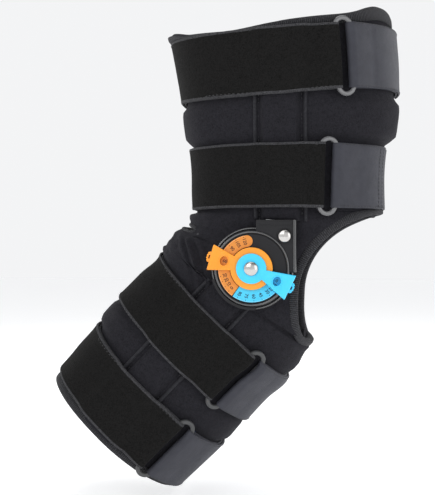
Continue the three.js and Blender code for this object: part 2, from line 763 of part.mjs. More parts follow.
const thighNames = ["upper_thigh", "lower_thigh"];
const thighRings = [
  { bearing: 303, strapDouble: 130, tabDouble: 70 },
  { bearing: 296, strapDouble: 98, tabDouble: 44 },
];
addStraps(brace, thighNames, THIGH_STRAPS, thighStation, aboveLevel, BAR_OFFSET, thighRings);

const calfStraps = new THREE.Group();
calfStraps.rotation.y = bend;
const calfNames = ["upper_calf", "lower_calf"];
const calfRings = [
  { bearing: 308, strapDouble: 130, tabDouble: 70 },
  { bearing: 306, strapDouble: 130, tabDouble: 70 },
];
addStraps(calfStraps, calfNames, CALF_STRAPS, calfStation, () => 0, 0, calfRings);
brace.add(calfStraps);

export default brace;
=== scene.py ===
"""A hinged knee brace, bent as it is worn, in a plain studio.

The soft wrap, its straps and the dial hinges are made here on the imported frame. Lengths are in
millimetres until a mesh is made, and in metres for the lights and the camera. u is a place along the
leg: -181 is the top of the thigh wrap, from -45 to 45 the leg bends, and 180 is the bottom of the calf
wrap. A bearing goes round the leg in radians: 0 in front, pi behind, and negative on the outer side.
"""

import math

import bmesh
import bpy
import numpy as np
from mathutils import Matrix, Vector, noise


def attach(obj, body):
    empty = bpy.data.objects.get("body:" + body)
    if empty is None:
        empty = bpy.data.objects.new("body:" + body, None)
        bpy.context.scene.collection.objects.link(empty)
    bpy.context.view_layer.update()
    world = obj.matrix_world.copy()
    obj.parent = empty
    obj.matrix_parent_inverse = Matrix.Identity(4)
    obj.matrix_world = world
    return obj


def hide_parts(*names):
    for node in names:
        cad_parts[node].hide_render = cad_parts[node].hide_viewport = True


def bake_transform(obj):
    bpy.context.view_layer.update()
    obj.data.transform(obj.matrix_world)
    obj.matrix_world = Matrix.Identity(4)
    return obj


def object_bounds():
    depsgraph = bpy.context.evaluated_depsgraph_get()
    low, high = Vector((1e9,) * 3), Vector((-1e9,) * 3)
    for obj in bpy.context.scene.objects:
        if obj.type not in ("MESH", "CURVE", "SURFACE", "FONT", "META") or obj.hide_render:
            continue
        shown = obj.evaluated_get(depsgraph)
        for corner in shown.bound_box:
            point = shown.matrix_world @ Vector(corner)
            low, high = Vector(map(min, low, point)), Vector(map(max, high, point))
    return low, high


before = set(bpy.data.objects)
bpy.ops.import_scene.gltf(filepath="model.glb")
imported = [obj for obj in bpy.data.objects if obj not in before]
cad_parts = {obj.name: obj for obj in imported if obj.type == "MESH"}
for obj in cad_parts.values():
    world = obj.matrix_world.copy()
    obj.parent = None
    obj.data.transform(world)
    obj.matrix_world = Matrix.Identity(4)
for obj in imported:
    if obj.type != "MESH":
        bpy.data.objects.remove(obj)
cad_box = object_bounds()

MM = 0.001
TAU = 2 * math.pi
OUTER, INNER = -1, 1
SIDES = {"outer": OUTER, "inner": INNER}

# ---------------------------------------------------------------- sizes, mm and degrees

BEND = math.radians(44)
KNEE_END = 45
WRAP_TOP = -181
WRAP_END = 180
WRAP_THICKNESS = 4.4
BINDING = 6
LEG_RADIUS = 75
# How far the cloth stands out between the straps, and under them.
CLOTH_OUT, CLOTH_UNDER_STRAP = 1.3, -0.2

# Height above the knee, centre forward of the hinge, half depth, half width. The leg is drawn in under
# each strap and stands full between them.
THIGH = [(181, 18.6, 86.5, 78.8), (153, 22.3, 84.9, 76.25), (128, 24.7, 83.3, 74), (122, 25, 86.2, 73.5),
         (103, 25, 84, 71.8), (95, 23.5, 76.5, 71.05), (70, 23.5, 74.5, 68.8), (45, 23.8, 74.5, 66.5)]
# Share of the bend, centre from the line that the sections fan out of, half depth, half width, squareness.
KNEE = [(0.06, 134.4, 78.2, 65.8, 2.4), (0.15, 132, 76, 64.6, 2.5), (0.3, 128.5, 74, 63.4, 2.8),
        (0.5, 125, 72.5, 63, 2.9), (0.7, 120.6, 71.4, 62.8, 2.8), (0.85, 117.8, 70.5, 62.5, 2.5)]
# Distance down the calf, centre forward of the hinge, half depth, half width.
CALF = [(45, 4, 70.3, 62), (47.5, 6.1, 68, 61.95), (72, 6, 68, 61.1), (96.5, 6, 68.7, 60.25),
        (103, 6, 71, 60), (118, 6.4, 70.8, 59.5), (124.5, 7.7, 67, 59.3), (149, 8, 66, 58.4),
        (173.5, 8.3, 64.7, 57.55), (180, 8, 66.2, 57.3)]
SQUARENESS = 2.3
FAN_X = -(KNEE_END + KNEE_END * math.cos(BEND)) / math.sin(BEND)
# The thigh's sections rise with their height above this one: shares at the sides, in front and behind.
RISE_FROM = 80
SIDE_RISE, FRONT_RISE, BACK_DROP, BACK_RISE = 0.027, 0.103, 0.048, 0.062
CREST, CREST_AT = 6.8, -0.55
# The slit behind the knee: along the leg, half its turn round the leg, and half its width.
BACK_RADIUS = 70
SLIT_FROM, SLIT_MIDDLE, SLIT_TO = -24, -16, -8
SLIT_HALF = math.radians(36)
SLIT_REACH = 44
# The folds behind the knee: how far they reach round the leg, and where along it they fade out.
FOLD_REACH = 106
FOLD_FADE, FOLD_END = 16, 44

STRAP_WIDTH = 48.5
STRAP_THICKNESS, TAB_THICKNESS = 1.9, 1.7
RING_HALF_LENGTH, RING_HALF_WIDTH, RING_BAR = 28.1, 6.2, 1.75
STRAP_MIDDLES = {"upper_thigh": -153, "lower_thigh": -70, "upper_calf": 72, "lower_calf": 149}
RING_BEARINGS = {"upper_thigh": 303, "lower_thigh": 296, "upper_calf": 308, "lower_calf": 306}
STRAP_DOUBLED = {"upper_thigh": 130, "lower_thigh": 98, "upper_calf": 130, "lower_calf": 130}
TAB_DOUBLED = {"upper_thigh": 70, "lower_thigh": 44, "upper_calf": 70, "lower_calf": 70}
# How far the strips go round the leg before the ring, in degrees.
STRAP_TURN, TAB_TURN = 196, 132
BAR_LINES = {"thigh": 21, "calf": 0}
# A bar's face is this far out at the hinge. It leans out along the thigh, and comes in down the calf.
BAR_FACE, BAR_LEAN, BAR_CLEARANCE = 69.3, 0.09, 0.8
CALF_BAR = [(0, BAR_FACE), (16, BAR_FACE), (34, 65.4), (200, 59.6)]
POCKET_HALF = 20.5
POCKET_ENDS = {"thigh": (-178, -37.5), "calf": (24, 176)}
POCKET_SEAM = 16.2
CORD_AT, CORD_HALF, CORD_HEIGHT = 18.7, 1.6, 2.6

# The hinge's layers, outwards from the middle of the leg.
BASE, DIAL, SCALE, CLIP, TOP, HEAD = 69.6, 72.6, 76.9, 77.7, 80.3, 82.5
BASE_RADIUS = 31.3
DIAL_RADIUS = 28.5
SCALE_RADIUS = 25.3
PIVOT_HOLE = 3.3
FLEXION_RING = 15.9
EXTENSION_RING = 11.4
CLIP_REACH = 32.3
CLIP_HALF_ANGLE = 17.3
FLEXION_ZERO, FLEXION_SETTING = 224.4, 60
EXTENSION_ZERO, EXTENSION_SETTING = 334, 0
ARM_RIVET = (24.6, 24.3)
LUG_CLEARANCE = 15
FLEXION_MARKS = (0, 10, 20, 30, 45, 60, 75, 90, 105, 120)
EXTENSION_MARKS = FLEXION_MARKS[:8]
NUMERAL_SIZE, NUMERAL_RADIUS = 3.5, 20.9
DIAL_SEGMENTS = 120

PALE = (0.9, 0.905, 0.915)

# The pads' covers are blown up a little by the cloth simulation. The cell and the limit are in m.
PUFF_CELL, PUFF_PRESSURE, PUFF_LIMIT, PUFF_STEPS = 0.003, 3.0, 0.0014, 15

# ---------------------------------------------------------------- the leg's surface


def key_stations():
    """u, centre x and z, tilt, half depth, half width and squareness of each section."""
    rows = [(-h, x, h, 0.0, a, b, SQUARENESS) for h, x, a, b in THIGH]
    for share, reach, a, b, n in KNEE:
        tilt = BEND * share
        x, z = FAN_X + reach * math.cos(tilt), KNEE_END - reach * math.sin(tilt)
        rows.append((KNEE_END * (2 * share - 1), x, z, tilt, a, b, n))
    for d, x, a, b in CALF:
        bent_x = x * math.cos(BEND) - d * math.sin(BEND)
        bent_z = -x * math.sin(BEND) - d * math.cos(BEND)
        rows.append((d, bent_x, bent_z, BEND, a, b, SQUARENESS))
    return np.array(rows)


def monotone_slopes(x, y):
    """Slopes for a cubic through the rows that never overshoots them."""
    d = np.diff(y, axis=0) / np.diff(x)[:, None]
    slopes = np.empty_like(y)
    slopes[0], slopes[-1] = d[0], d[-1]
    product = d[:-1] * d[1:]
    total = np.where(product > 0, d[:-1] + d[1:], 1)
    slopes[1:-1] = np.where(product > 0, 2 * product / total, 0)
    return slopes


STATIONS = key_stations()
SLOPES = monotone_slopes(STATIONS[:, 0], STATIONS[:, 1:])


def station(u):
    """Centre x and z, tilt, half depth, half width and squareness at u, each shaped like u."""
    u = np.asarray(u, float)
    k = np.clip(np.searchsorted(STATIONS[:, 0], u) - 1, 0, len(STATIONS) - 2)
    x0, x1 = STATIONS[k, 0], STATIONS[k + 1, 0]
    width = x1 - x0
    t = np.clip((u - x0) / width, -1, 2)
    beyond = np.where(t > 1, t - 1, np.where(t < 0, t, 0)) * width
    t = np.clip(t, 0, 1)
    values = []
    for i in range(6):
        y0, y1 = STATIONS[k, i + 1], STATIONS[k + 1, i + 1]
        m0, m1 = SLOPES[k, i] * width, SLOPES[k + 1, i] * width
        curve = (2 * t**3 - 3 * t**2 + 1) * y0 + (t**3 - 2 * t**2 + t) * m0
        curve = curve + (3 * t**2 - 2 * t**3) * y1 + (t**3 - t**2) * m1
        values.append(curve + beyond * np.where(t >= 1, SLOPES[k + 1, i], SLOPES[k, i]))
    return values


def lift(u, bearing):
    """How far the thigh's upper end rises at each bearing, with a crest in its top edge in front."""
    c = np.cos(bearing)
    behind = np.maximum(0, -c)
    share = SIDE_RISE + FRONT_RISE * np.maximum(0, c) - BACK_DROP * behind + BACK_RISE * behind**4
    spread = np.where(bearing > CREST_AT, 0.42, 0.24)
    crest = CREST * smooth(WRAP_TOP + 9, WRAP_TOP, u) * np.exp(-(((bearing - CREST_AT) / spread) ** 2))
    return share * np.maximum(0, -np.asarray(u, float) - RISE_FROM) + crest


def flare(u, bearing):
    """How far the wrap stands off the leg: open behind at the top, and drawn in above the shin strap."""
    c = np.cos(bearing)
    top = 6.5 * np.maximum(0, -c) ** 1.5 * smooth(WRAP_TOP + 9, WRAP_TOP - 1, u)
    shin = 3.6 * smooth(0, 22, u) * smooth(40, 30, u) - 2.2 * smooth(32, 40, u) * smooth(52, 45, u)
    return top - shin * np.maximum(0, c) ** 2 + lips(u, bearing)


def hem(u, bearing):
    """The bottom edge is cut a little higher in front, and the top edge lower behind."""
    c = np.cos(bearing)
    up = 4.5 * np.maximum(0, c) ** 1.5 * smooth(WRAP_END - 8, WRAP_END, u)
    down = 4.0 * smooth(0.1, -0.5, c) * smooth(-1, -0.8, c) * smooth(WRAP_TOP + 8, WRAP_TOP, u)
    return u - up + down


def behind_knee(bearing):
    """The distance round the leg from the middle of its back."""
    return BACK_RADIUS * np.arccos(np.clip(-np.cos(bearing), -1, 1))


def lips(u, bearing):
    """The slit's lower lip stands out from the leg, and its upper lip lies close to it."""
    near = smooth(FOLD_REACH, 60, behind_knee(bearing))
    lower = 4.0 * smooth(SLIT_MIDDLE, SLIT_TO + 8, u) * smooth(FOLD_END, FOLD_FADE, u)
    upper = 0.8 * smooth(SLIT_MIDDLE, SLIT_FROM, u) * smooth(-46.5, -38, u)
    return (lower - upper) * near


def lap(u, bearing):
    """How far the slit's lower lip rises over its upper lip where the bent knee pushes them together."""
    rise = smooth(SLIT_MIDDLE, SLIT_TO, u) * smooth(SLIT_MIDDLE + 28, SLIT_TO, u)
    return 2.5 * rise * smooth(SLIT_REACH, 0.3 * SLIT_REACH, behind_knee(bearing))


def section_radius(c, s, a, b, n):
    """From a section's centre to its outline in the direction c, s."""
    return (np.abs(c / a) ** n + np.abs(s / b) ** n) ** (-1 / n)


def surface(u, bearing, h=0.0, lift_at=None):
    """Points h outside the leg's surface. A strap doesn't stretch, so it rises as its middle does."""
    x, z, tilt, a, b, n = station(u)
    bearing = (np.asarray(bearing, float) + math.pi) % TAU - math.pi
    c, s = np.cos(bearing), np.sin(bearing)
    r = section_radius(c, s, a, b, n)
    slope_c = np.sign(c) * np.abs(r * c / a) ** (n - 1) / a
    slope_s = np.sign(s) * np.abs(r * s / b) ** (n - 1) / b
    out = h / np.hypot(slope_c, slope_s)
    ahead = r * c + slope_c * out
    across = r * s + slope_s * out
    up = lift(u if lift_at is None else lift_at, bearing) + lap(u, bearing)
    return np.stack([x + ahead * np.cos(tilt), across + 0 * x, z - ahead * np.sin(tilt) + up], -1)


def bearing_at(u, line, side):
    """The bearing on one side of the leg of the point that is this far forward of the hinge."""
    x, z, tilt, a, b, n = station(u)
    forward = line - (x * np.cos(tilt) - z * np.sin(tilt))
    across = b * (1 - np.clip(np.abs(forward / a), 0, 1) ** n) ** (1 / n)
    return side * np.arctan2(across, forward)


def bar_line(body, u):
    """How far forward of the hinge a bar runs, in each section's own direction."""
    tilt = station(u)[2]
    off_square = tilt if body == "thigh" else BEND - tilt
    reach = (BAR_LINES[body] - FAN_X) / np.cos(off_square)
    return reach + FAN_X * np.cos(tilt) - KNEE_END * np.sin(tilt)


def forward_of_hinge(u, bearing):
    """How far forward of the hinge a point on the surface is, in its section's own direction."""
    x, z, tilt, a, b, n = station(u)
    c, s = np.cos(bearing), np.sin(bearing)
    r = section_radius(c, s, a, b, n)
    return r * c + x * np.cos(tilt) - z * np.sin(tilt)


def smooth(edge0, edge1, x):
    t = np.clip((x - edge0) / (edge1 - edge0), 0, 1)
    return t * t * (3 - 2 * t)


def wobble(points, size, seed=0.0):
    """Smooth noise from -1 to 1 at points in mm, with lumps about this size."""
    flat = np.asarray(points, float).reshape(-1, 3) / size
    values = [noise.noise(Vector((p[0] + seed, p[1] - seed, p[2] + 2 * seed))) for p in flat]
    return np.array(values).reshape(np.asarray(points).shape[:-1])


# ---------------------------------------------------------------- mesh helpers


def in_scene(name, data):
    piece = bpy.data.objects.new(name, data)
    bpy.context.scene.collection.objects.link(piece)
    return piece


def add_mesh(name, points, faces, material, body=None, smooth_shaded=True, welded=True):
    """A mesh object from points in mm. Welding joins points that meet and turns the faces outwards."""
    mesh = bpy.data.meshes.new(name)
    mesh.from_pydata([tuple(p) for p in np.asarray(points) * MM], [], faces)
    if welded:
        work = bmesh.new()
        work.from_mesh(mesh)
        bmesh.ops.remove_doubles(work, verts=work.verts, dist=2e-6)
        bmesh.ops.recalc_face_normals(work, faces=work.faces)
        work.to_mesh(mesh)
        work.free()
    mesh.polygons.foreach_set("use_smooth", [smooth_shaded] * len(mesh.polygons))
    mesh.materials.append(material)
    piece = in_scene(name, mesh)
    if body:
        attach(piece, body)
    return piece


def stand_in(piece, node):
    """The piece is shown in place of its plain solid, which is hidden."""
    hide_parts(node)


def grid_faces(rows, columns, round_rows=False, round_columns=False):
    faces = []
    for i in range(rows if round_rows else rows - 1):
        for j in range(columns if round_columns else columns - 1):
            i1, j1 = (i + 1) % rows, (j + 1) % columns
            faces.append((i * columns + j, i * columns + j1, i1 * columns + j1, i1 * columns + j))
    return faces


def swept(points, closed_path):
    """Faces of a closed section swept along a path, with flat ends unless the path closes."""
    rows, columns = points.shape[:2]
    faces = grid_faces(rows, columns, round_rows=closed_path, round_columns=True)
    if not closed_path:
        faces.append(tuple(range(columns)))
        faces.append(tuple((rows - 1) * columns + j for j in range(columns)))
    return faces


def sharpen(piece, degrees=30):
    """Smooth shading, but for edges sharper than this."""
    work = bmesh.new()
    work.from_mesh(piece.data)
    for edge in work.edges:
        if len(edge.link_faces) == 2 and edge.calc_face_angle() > math.radians(degrees):
            edge.smooth = False
    work.to_mesh(piece.data)
    work.free()
    return piece


def evaluated_mesh(piece):
    graph = bpy.context.evaluated_depsgraph_get()
    return bpy.data.meshes.new_from_object(piece.evaluated_get(graph))


def baked(piece):
    """The piece with its modifiers applied."""
    mesh = evaluated_mesh(piece)
    piece.modifiers.clear()
    piece.data = mesh
    return piece


def outline_mesh(curve):
    """Points and faces of a filled curve, which is used up."""
    carrier = in_scene("outline", curve)
    mesh = evaluated_mesh(carrier)
    points = np.array([v.co for v in mesh.vertices])
    faces = [tuple(p.vertices) for p in mesh.polygons]
    bpy.data.objects.remove(carrier)
    bpy.data.curves.remove(curve)
    bpy.data.meshes.remove(mesh)
    return points, faces


# ---------------------------------------------------------------- materials


class Shader:
    """A material's node tree, with short calls for the nodes that the looks here are made of."""

    def __init__(self, name, roughness, metallic=0.0):
        self.material = bpy.data.materials.new(name)
        self.material.use_nodes = True
        self.tree = self.material.node_tree
        self.surface = self.tree.nodes["Principled BSDF"]
        self.put(self.surface, {"Roughness": roughness, "Metallic": metallic})
        self.place = self.tree.nodes.new("ShaderNodeTexCoord").outputs["Object"]
        self.normal = None

    def put(self, node, inputs):
        """Sets a node's inputs to numbers or colours, or links them to other nodes' outputs."""
        for key, value in inputs.items():
            socket = node.inputs[key]
            if isinstance(value, bpy.types.NodeSocket):
                self.tree.links.new(value, socket)
            else:
                socket.default_value = (*value, 1) if socket.type == "RGBA" else value
        return self

    def node(self, kind, output, inputs, **settings):
        """A new node's output."""
        node = self.tree.nodes.new("ShaderNode" + kind)
        for name, value in settings.items():
            setattr(node, name, value)
        self.put(node, inputs)
        return node.outputs[output]

    def noise(self, size_mm, detail=4.0, stretch=(1, 1, 1), rough=0.6):
        place = self.place
        if stretch != (1, 1, 1):
            place = self.node("Mapping", "Vector", {"Scale": stretch, "Vector": place})
        inputs = {"Scale": 1000 / size_mm, "Detail": detail, "Roughness": rough, "Vector": place}
        return self.node("TexNoise", "Fac", inputs)

    def cells(self, size_mm):
        return self.node("TexVoronoi", "Distance", {"Scale": 1000 / size_mm, "Vector": self.place})

    def waves(self, size_mm, direction, along_uv=False, warp=0.0):
        place = self.node("UVMap", "UV", {}, uv_map="cloth") if along_uv else self.place
        scale = (1 if along_uv else 1000) / size_mm * 0.314
        inputs = {"Scale": scale, "Distortion": warp, "Vector": place}
        return self.node("TexWave", "Fac", inputs, bands_direction=direction)

    def mix(self, factor, a, b):
        """Between two colours. The colours are the node's inputs 6 and 7, and its output 2."""
        return self.node("Mix", 2, {"Factor": factor, 6: a, 7: b}, data_type="RGBA")

    def spread(self, value, low, high):
        """From 0 to 1 as the value goes from low to high."""
        return self.node("MapRange", "Result", {"From Min": low, "From Max": high, "Value": value})

    def ranged(self, value, low, high):
        """From low to high as the value goes from 0 to 1."""
        return self.node("MapRange", "Result", {"To Min": low, "To Max": high, "Value": value})

    def product(self, a, b):
        return self.node("Math", "Value", {0: a, 1: b}, operation="MULTIPLY")

    def color(self, value):
        return self.put(self.surface, {"Base Color": value})

    def rough(self, value):
        return self.put(self.surface, {"Roughness": value})

    def bump(self, height, distance_mm, strength):
        inputs = {"Distance": distance_mm * MM, "Strength": strength, "Height": height}
        if self.normal is not None:
            inputs["Normal"] = self.normal
        self.normal = self.node("Bump", "Normal", inputs)
        return self.put(self.surface, {"Normal": self.normal})

    def sheen(self, weight, roughness, tint):
        inputs = {"Sheen Weight": weight, "Sheen Roughness": roughness, "Sheen Tint": tint}
        return self.put(self.surface, inputs)

    def gloss(self, level, coat=None):
        inputs = {"Specular IOR Level": level}
        if coat is not None:
            inputs.update({"Coat Weight": coat, "Coat Roughness": 0.12})
        return self.put(self.surface, inputs)

    def glow(self, color, strength):
        return self.put(self.surface, {"Emission Color": color, "Emission Strength": strength})


def wrap_cloth():
    """Napped cloth bonded to foam: soft mottling, short fuzz and a faint knit."""
    s = Shader("wrap_cloth", 0.95)
    mottled = s.spread(s.noise(3.6, 7, rough=0.8), 0.40, 0.62)
    fuzz = s.spread(s.noise(0.9, 3, rough=0.75), 0.3, 0.75)
    ground = s.mix(mottled, (0.0080, 0.0078, 0.0098), (0.0180, 0.0174, 0.0215))
    s.color(s.mix(fuzz, ground, (0.0230, 0.0225, 0.0270)))
    s.bump(s.cells(0.75), 0.25, 0.6)
    s.bump(s.noise(0.5, 2, rough=0.8), 0.22, 0.7)
    s.bump(s.noise(5, 3), 0.35, 0.5)
    return s.sheen(0.05, 0.4, (0.75, 0.74, 0.82)).gloss(0.1).material


def cord_cloth():
    """The wrap's cloth where it is stretched over a cord, painted lighter: a painted highlight along the
    cord's ridge.
    """
    s = Shader("cord_cloth", 0.85)
    s.color(s.mix(s.spread(s.noise(1.6, 4), 0.3, 0.7), (0.015, 0.015, 0.018), (0.032, 0.032, 0.037)))
    s.bump(s.cells(0.7), 0.15, 0.6)
    return s.sheen(0.05, 0.4, (0.8, 0.8, 0.85)).gloss(0.2).material


def lining_cloth():
    """The smoother cloth inside the wrap."""
    s = Shader("lining_cloth", 0.85)
    knit = s.waves(0.9, "Z", warp=2)
    s.color(s.mix(s.spread(s.noise(5), 0.35, 0.7), (0.018, 0.018, 0.021), (0.03, 0.03, 0.034)))
    s.bump(knit, 0.15, 0.5)
    return s.sheen(0.15, 0.5, (0.8, 0.8, 0.85)).gloss(0.2).material


def velvet():
    """Loop velvet of the straps: darker and denser than the wrap, brushed along the strap."""
    s = Shader("strap_velvet", 0.97)
    blotch = s.spread(s.noise(2.6, 7, rough=0.9), 0.44, 0.58)
    loops = s.spread(s.cells(0.8), 0.1, 0.75)
    ground = s.mix(blotch, (0.0014, 0.0014, 0.0014), (0.0105, 0.0103, 0.0102))
    s.color(s.mix(loops, ground, (0.0130, 0.0127, 0.0125)))
    s.bump(s.cells(0.8), 0.3, 0.75)
    s.bump(s.noise(0.45, 2, rough=0.85), 0.25, 0.8)
    s.bump(s.noise(4, 4), 0.4, 0.5)
    return s.sheen(0.03, 0.35, (0.8, 0.8, 0.78)).gloss(0.08).material


def selvage():
    """The strap's woven edge, a little lighter than its pile."""
    s = Shader("strap_selvage", 0.9)
    s.color(s.mix(s.spread(s.noise(1.0, 4), 0.35, 0.65), (0.022, 0.022, 0.024), (0.066, 0.066, 0.071)))
    s.bump(s.waves(0.9, "DIAGONAL", warp=1.5), 0.2, 0.8)
    return s.sheen(0.06, 0.35, (0.8, 0.8, 0.82)).gloss(0.15).material


def smooth_webbing():
    """The coated, finely woven cloth of the ring tabs."""
    s = Shader("tab_webbing", 0.62)
    weft = s.waves(0.55, "X", along_uv=True)
    warp = s.waves(0.55, "Y", along_uv=True)
    weave = s.product(weft, warp)
    drift = s.spread(s.noise(9, 4), 0.35, 0.7)
    ground = s.mix(drift, (0.025, 0.026, 0.034), (0.037, 0.038, 0.049))
    s.color(s.mix(weave, ground, (0.048, 0.049, 0.062)))
    s.rough(s.ranged(s.noise(3, 4), 0.52, 0.72))
    s.bump(weave, 0.12, 0.6)
    s.bump(s.noise(6, 3), 0.25, 0.4)
    return s.sheen(0.03, 0.4, (0.8, 0.8, 0.88)).gloss(0.3).material


def tape():
    """Binding tape, oversewn so that its threads run across it."""
    s = Shader("binding_tape", 0.8)
    ribs = s.waves(1.5, "X", warp=1.2, along_uv=True)
    fibres = s.spread(s.noise(0.8, 3), 0.3, 0.7)
    ground = s.mix(fibres, (0.008, 0.008, 0.009), (0.020, 0.020, 0.023))
    s.color(s.mix(s.product(ribs, fibres), ground, (0.075, 0.075, 0.082)))
    s.bump(ribs, 0.35, 0.9)
    s.bump(s.noise(0.8, 3), 0.1, 0.5)
    return s.sheen(0.04, 0.4, (0.8, 0.8, 0.85)).gloss(0.2).material


def thread():
    s = Shader("thread", 0.7)
    s.color(s.mix(s.noise(0.6, 2), (0.012, 0.012, 0.013), (0.034, 0.034, 0.037)))
    s.bump(s.waves(0.35, "DIAGONAL"), 0.08, 0.6)
    return s.sheen(0.08, 0.3, (0.9, 0.9, 0.95)).material


def moulded(name, dark, light, roughness, coat=0.0, gloss=0.5):
    """Moulded plastic: a slight drift of colour, a fine grain and rubbed patches."""
    s = Shader(name, roughness)
    s.color(s.mix(s.noise(14, 3), dark, light))
    s.rough(s.ranged(s.noise(4, 5), roughness * 0.8, min(1, roughness * 1.3)))
    s.bump(s.noise(0.35, 2), 0.02, 0.7)
    s.bump(s.noise(9, 2), 0.05, 0.25)
    return s.gloss(gloss, coat).material


def metal(name, dark, light, roughness, brushed=(1, 1, 1)):
    s = Shader(name, roughness, 1.0)
    s.color(s.mix(s.noise(6, 3), dark, light))
    s.rough(s.ranged(s.noise(2, 5, brushed), roughness * 0.7, roughness * 1.6))
    s.bump(s.noise(0.5, 3, brushed), 0.01, 0.5)
    return s.material


WRAP, CORD, LINING = wrap_cloth(), cord_cloth(), lining_cloth()
VELVET, SELVAGE, WEBBING = velvet(), selvage(), smooth_webbing()
TAPE, THREAD = tape(), thread()
RING_GLOSSY = moulded("ring_plastic_glossy", (0.080, 0.080, 0.084), (0.125, 0.125, 0.131), 0.16, 0.8)
RING_MATTE = moulded("ring_plastic", (0.045, 0.046, 0.048), (0.065, 0.066, 0.068), 0.48)
BLACK = moulded("hinge_plastic", (0.0075, 0.0075, 0.009), (0.013, 0.013, 0.015), 0.42, 0.0, gloss=0.28)
GLOSSY_BLACK = moulded("hinge_plastic_rim", (0.012, 0.012, 0.014), (0.018, 0.018, 0.02), 0.2, 1.0, gloss=0.8)
ORANGE = moulded("orange_plastic", (0.88, 0.28, 0.006), (0.96, 0.36, 0.012), 0.34, 0.3)
BLUE = moulded("blue_plastic", (0.030, 0.56, 0.92), (0.05, 0.66, 0.98), 0.34, 0.3)
ORANGE_PRINT = moulded("orange_scale", (0.66, 0.22, 0.025), (0.76, 0.28, 0.04), 0.5)
BLUE_PRINT = moulded("blue_scale", (0.042, 0.51, 0.80), (0.066, 0.60, 0.90), 0.5)
# The scales' thin outer rims are lighter than the scales: a painted highlight on their edges.
ORANGE_EDGE_HIGHLIGHT = moulded("orange_scale_edge_highlight", (0.93, 0.42, 0.13), (0.98, 0.48, 0.17), 0.45)
BLUE_EDGE_HIGHLIGHT = moulded("blue_scale_edge_highlight", (0.20, 0.68, 0.92), (0.26, 0.74, 0.96), 0.45)
ORANGE_INK = moulded("orange_scale_ink", (0.045, 0.008, 0.003), (0.07, 0.013, 0.005), 0.6)
BLUE_INK = moulded("blue_scale_ink", (0.004, 0.022, 0.04), (0.008, 0.034, 0.055), 0.6)
CHROME = metal("rivet_chrome", (0.50, 0.48, 0.46), (0.66, 0.65, 0.64), 0.14)
ALUMINIUM = metal("bar_aluminium", (0.55, 0.56, 0.57), (0.66, 0.67, 0.68), 0.32, brushed=(1, 1, 0.05))
SPRING = metal("spring_steel", (0.4, 0.4, 0.4), (0.55, 0.55, 0.55), 0.25)

# ---------------------------------------------------------------- cloth on the leg


def direction_in_cloth(u, bearing, vector):
    """How u and the bearing change when a point on the surface moves by this vector."""
    step_u, step_b = 0.5, 0.005
    along = (surface(u + step_u, bearing) - surface(u - step_u, bearing)) / (2 * step_u)
    round_it = (surface(u, bearing + step_b) - surface(u, bearing - step_b)) / (2 * step_b)
    aa, ab, bb = (np.sum(p * q, -1) for p, q in ((along, along), (along, round_it), (round_it, round_it)))
    va, vb = np.sum(vector * along, -1), np.sum(vector * round_it, -1)
    det = aa * bb - ab * ab
    return (va * bb - vb * ab) / det, (vb * aa - va * ab) / det


def normals(u, bearing):
    out = surface(u, bearing, 1.0) - surface(u, bearing, 0.0)
    return out / np.linalg.norm(out, axis=-1, keepdims=True)


def tangents(points, closed):
    if closed:
        t = np.roll(points, -1, 0) - np.roll(points, 1, 0)
    else:
        t = np.gradient(points, axis=0)
    return t / np.maximum(np.linalg.norm(t, axis=-1, keepdims=True), 1e-9)


def resampled(u, bearing, step, closed):
    """The same path in equal steps of about this many mm."""
    if closed:
        u, bearing = np.append(u, u[0]), np.unwrap(np.append(bearing, bearing[0]))
    points = surface(u, bearing)
    length = np.concatenate([[0], np.cumsum(np.linalg.norm(np.diff(points, axis=0), axis=1))])
    count = max(4, int(round(length[-1] / step)))
    at = np.linspace(0, length[-1], count + 1)
    if closed:
        at = at[:-1]
    return np.interp(at, length, u), np.interp(at, length, bearing)


def shifted(u, bearing, distance, towards):
    """A closed path moved sideways in the cloth by a distance, to the left if towards is 1."""
    points = surface(u, bearing)
    sideways = np.cross(normals(u, bearing), tangents(points, True)) * towards
    du, db = direction_in_cloth(u, bearing, sideways)
    return u + du * distance, bearing + db * distance


def edge_tape(name, u, bearing, towards):
    """Binding tape folded over an edge of the wrap. The edge is a closed path of u and bearings."""
    step = 2.5
    u, bearing = resampled(u, bearing, step, True)
    inside, width = -WRAP_THICKNESS, BINDING
    section = [(width, 0.1), (width - 0.4, 0.9), (width / 2, 1.15), (1.2, 1.1), (-0.5, 0.5), (-1.2, -1.0),
               (-1.2, inside + 1), (-0.5, inside - 0.5), (1.2, inside - 1.0), (width - 0.4, inside - 0.9),
               (width, inside - 0.1), (width - 1.0, inside / 2)]
    rings = []
    for distance, h in section:
        moved = shifted(u, bearing, distance, towards)
        rings.append(surface(*moved, h + flare(*moved)))
    return tape_piece(name, np.stack(rings, 1), step, 1.2)


def rolled_tape(name, u, bearing):
    """Narrow tape rolled round an edge where the cloth folds too tightly for a flat one."""
    step, around = 1.6, 12
    u, bearing = resampled(u, bearing, step, True)
    centre = surface(u, bearing, flare(u, bearing) - WRAP_THICKNESS / 2)
    out = normals(u, bearing)
    sideways = np.cross(out, tangents(centre, True))
    turn = np.linspace(0, TAU, around, endpoint=False)[None, :, None]
    thick = (WRAP_THICKNESS / 2 + 0.7) * np.cos(turn) * out[:, None, :]
    points = centre[:, None, :] + thick + 1.8 * np.sin(turn) * sideways[:, None, :]
    return tape_piece(name, points, step, 1.0)


def tape_piece(name, points, step, side_step):
    """Tape from its sections' points, with the weave's map in mm."""
    rows, columns = points.shape[:2]
    piece = add_mesh(name, points.reshape(-1, 3), swept(points, True), TAPE)
    mark_cloth(piece, np.linspace(0, rows * step, rows), np.arange(columns) * side_step)
    return piece


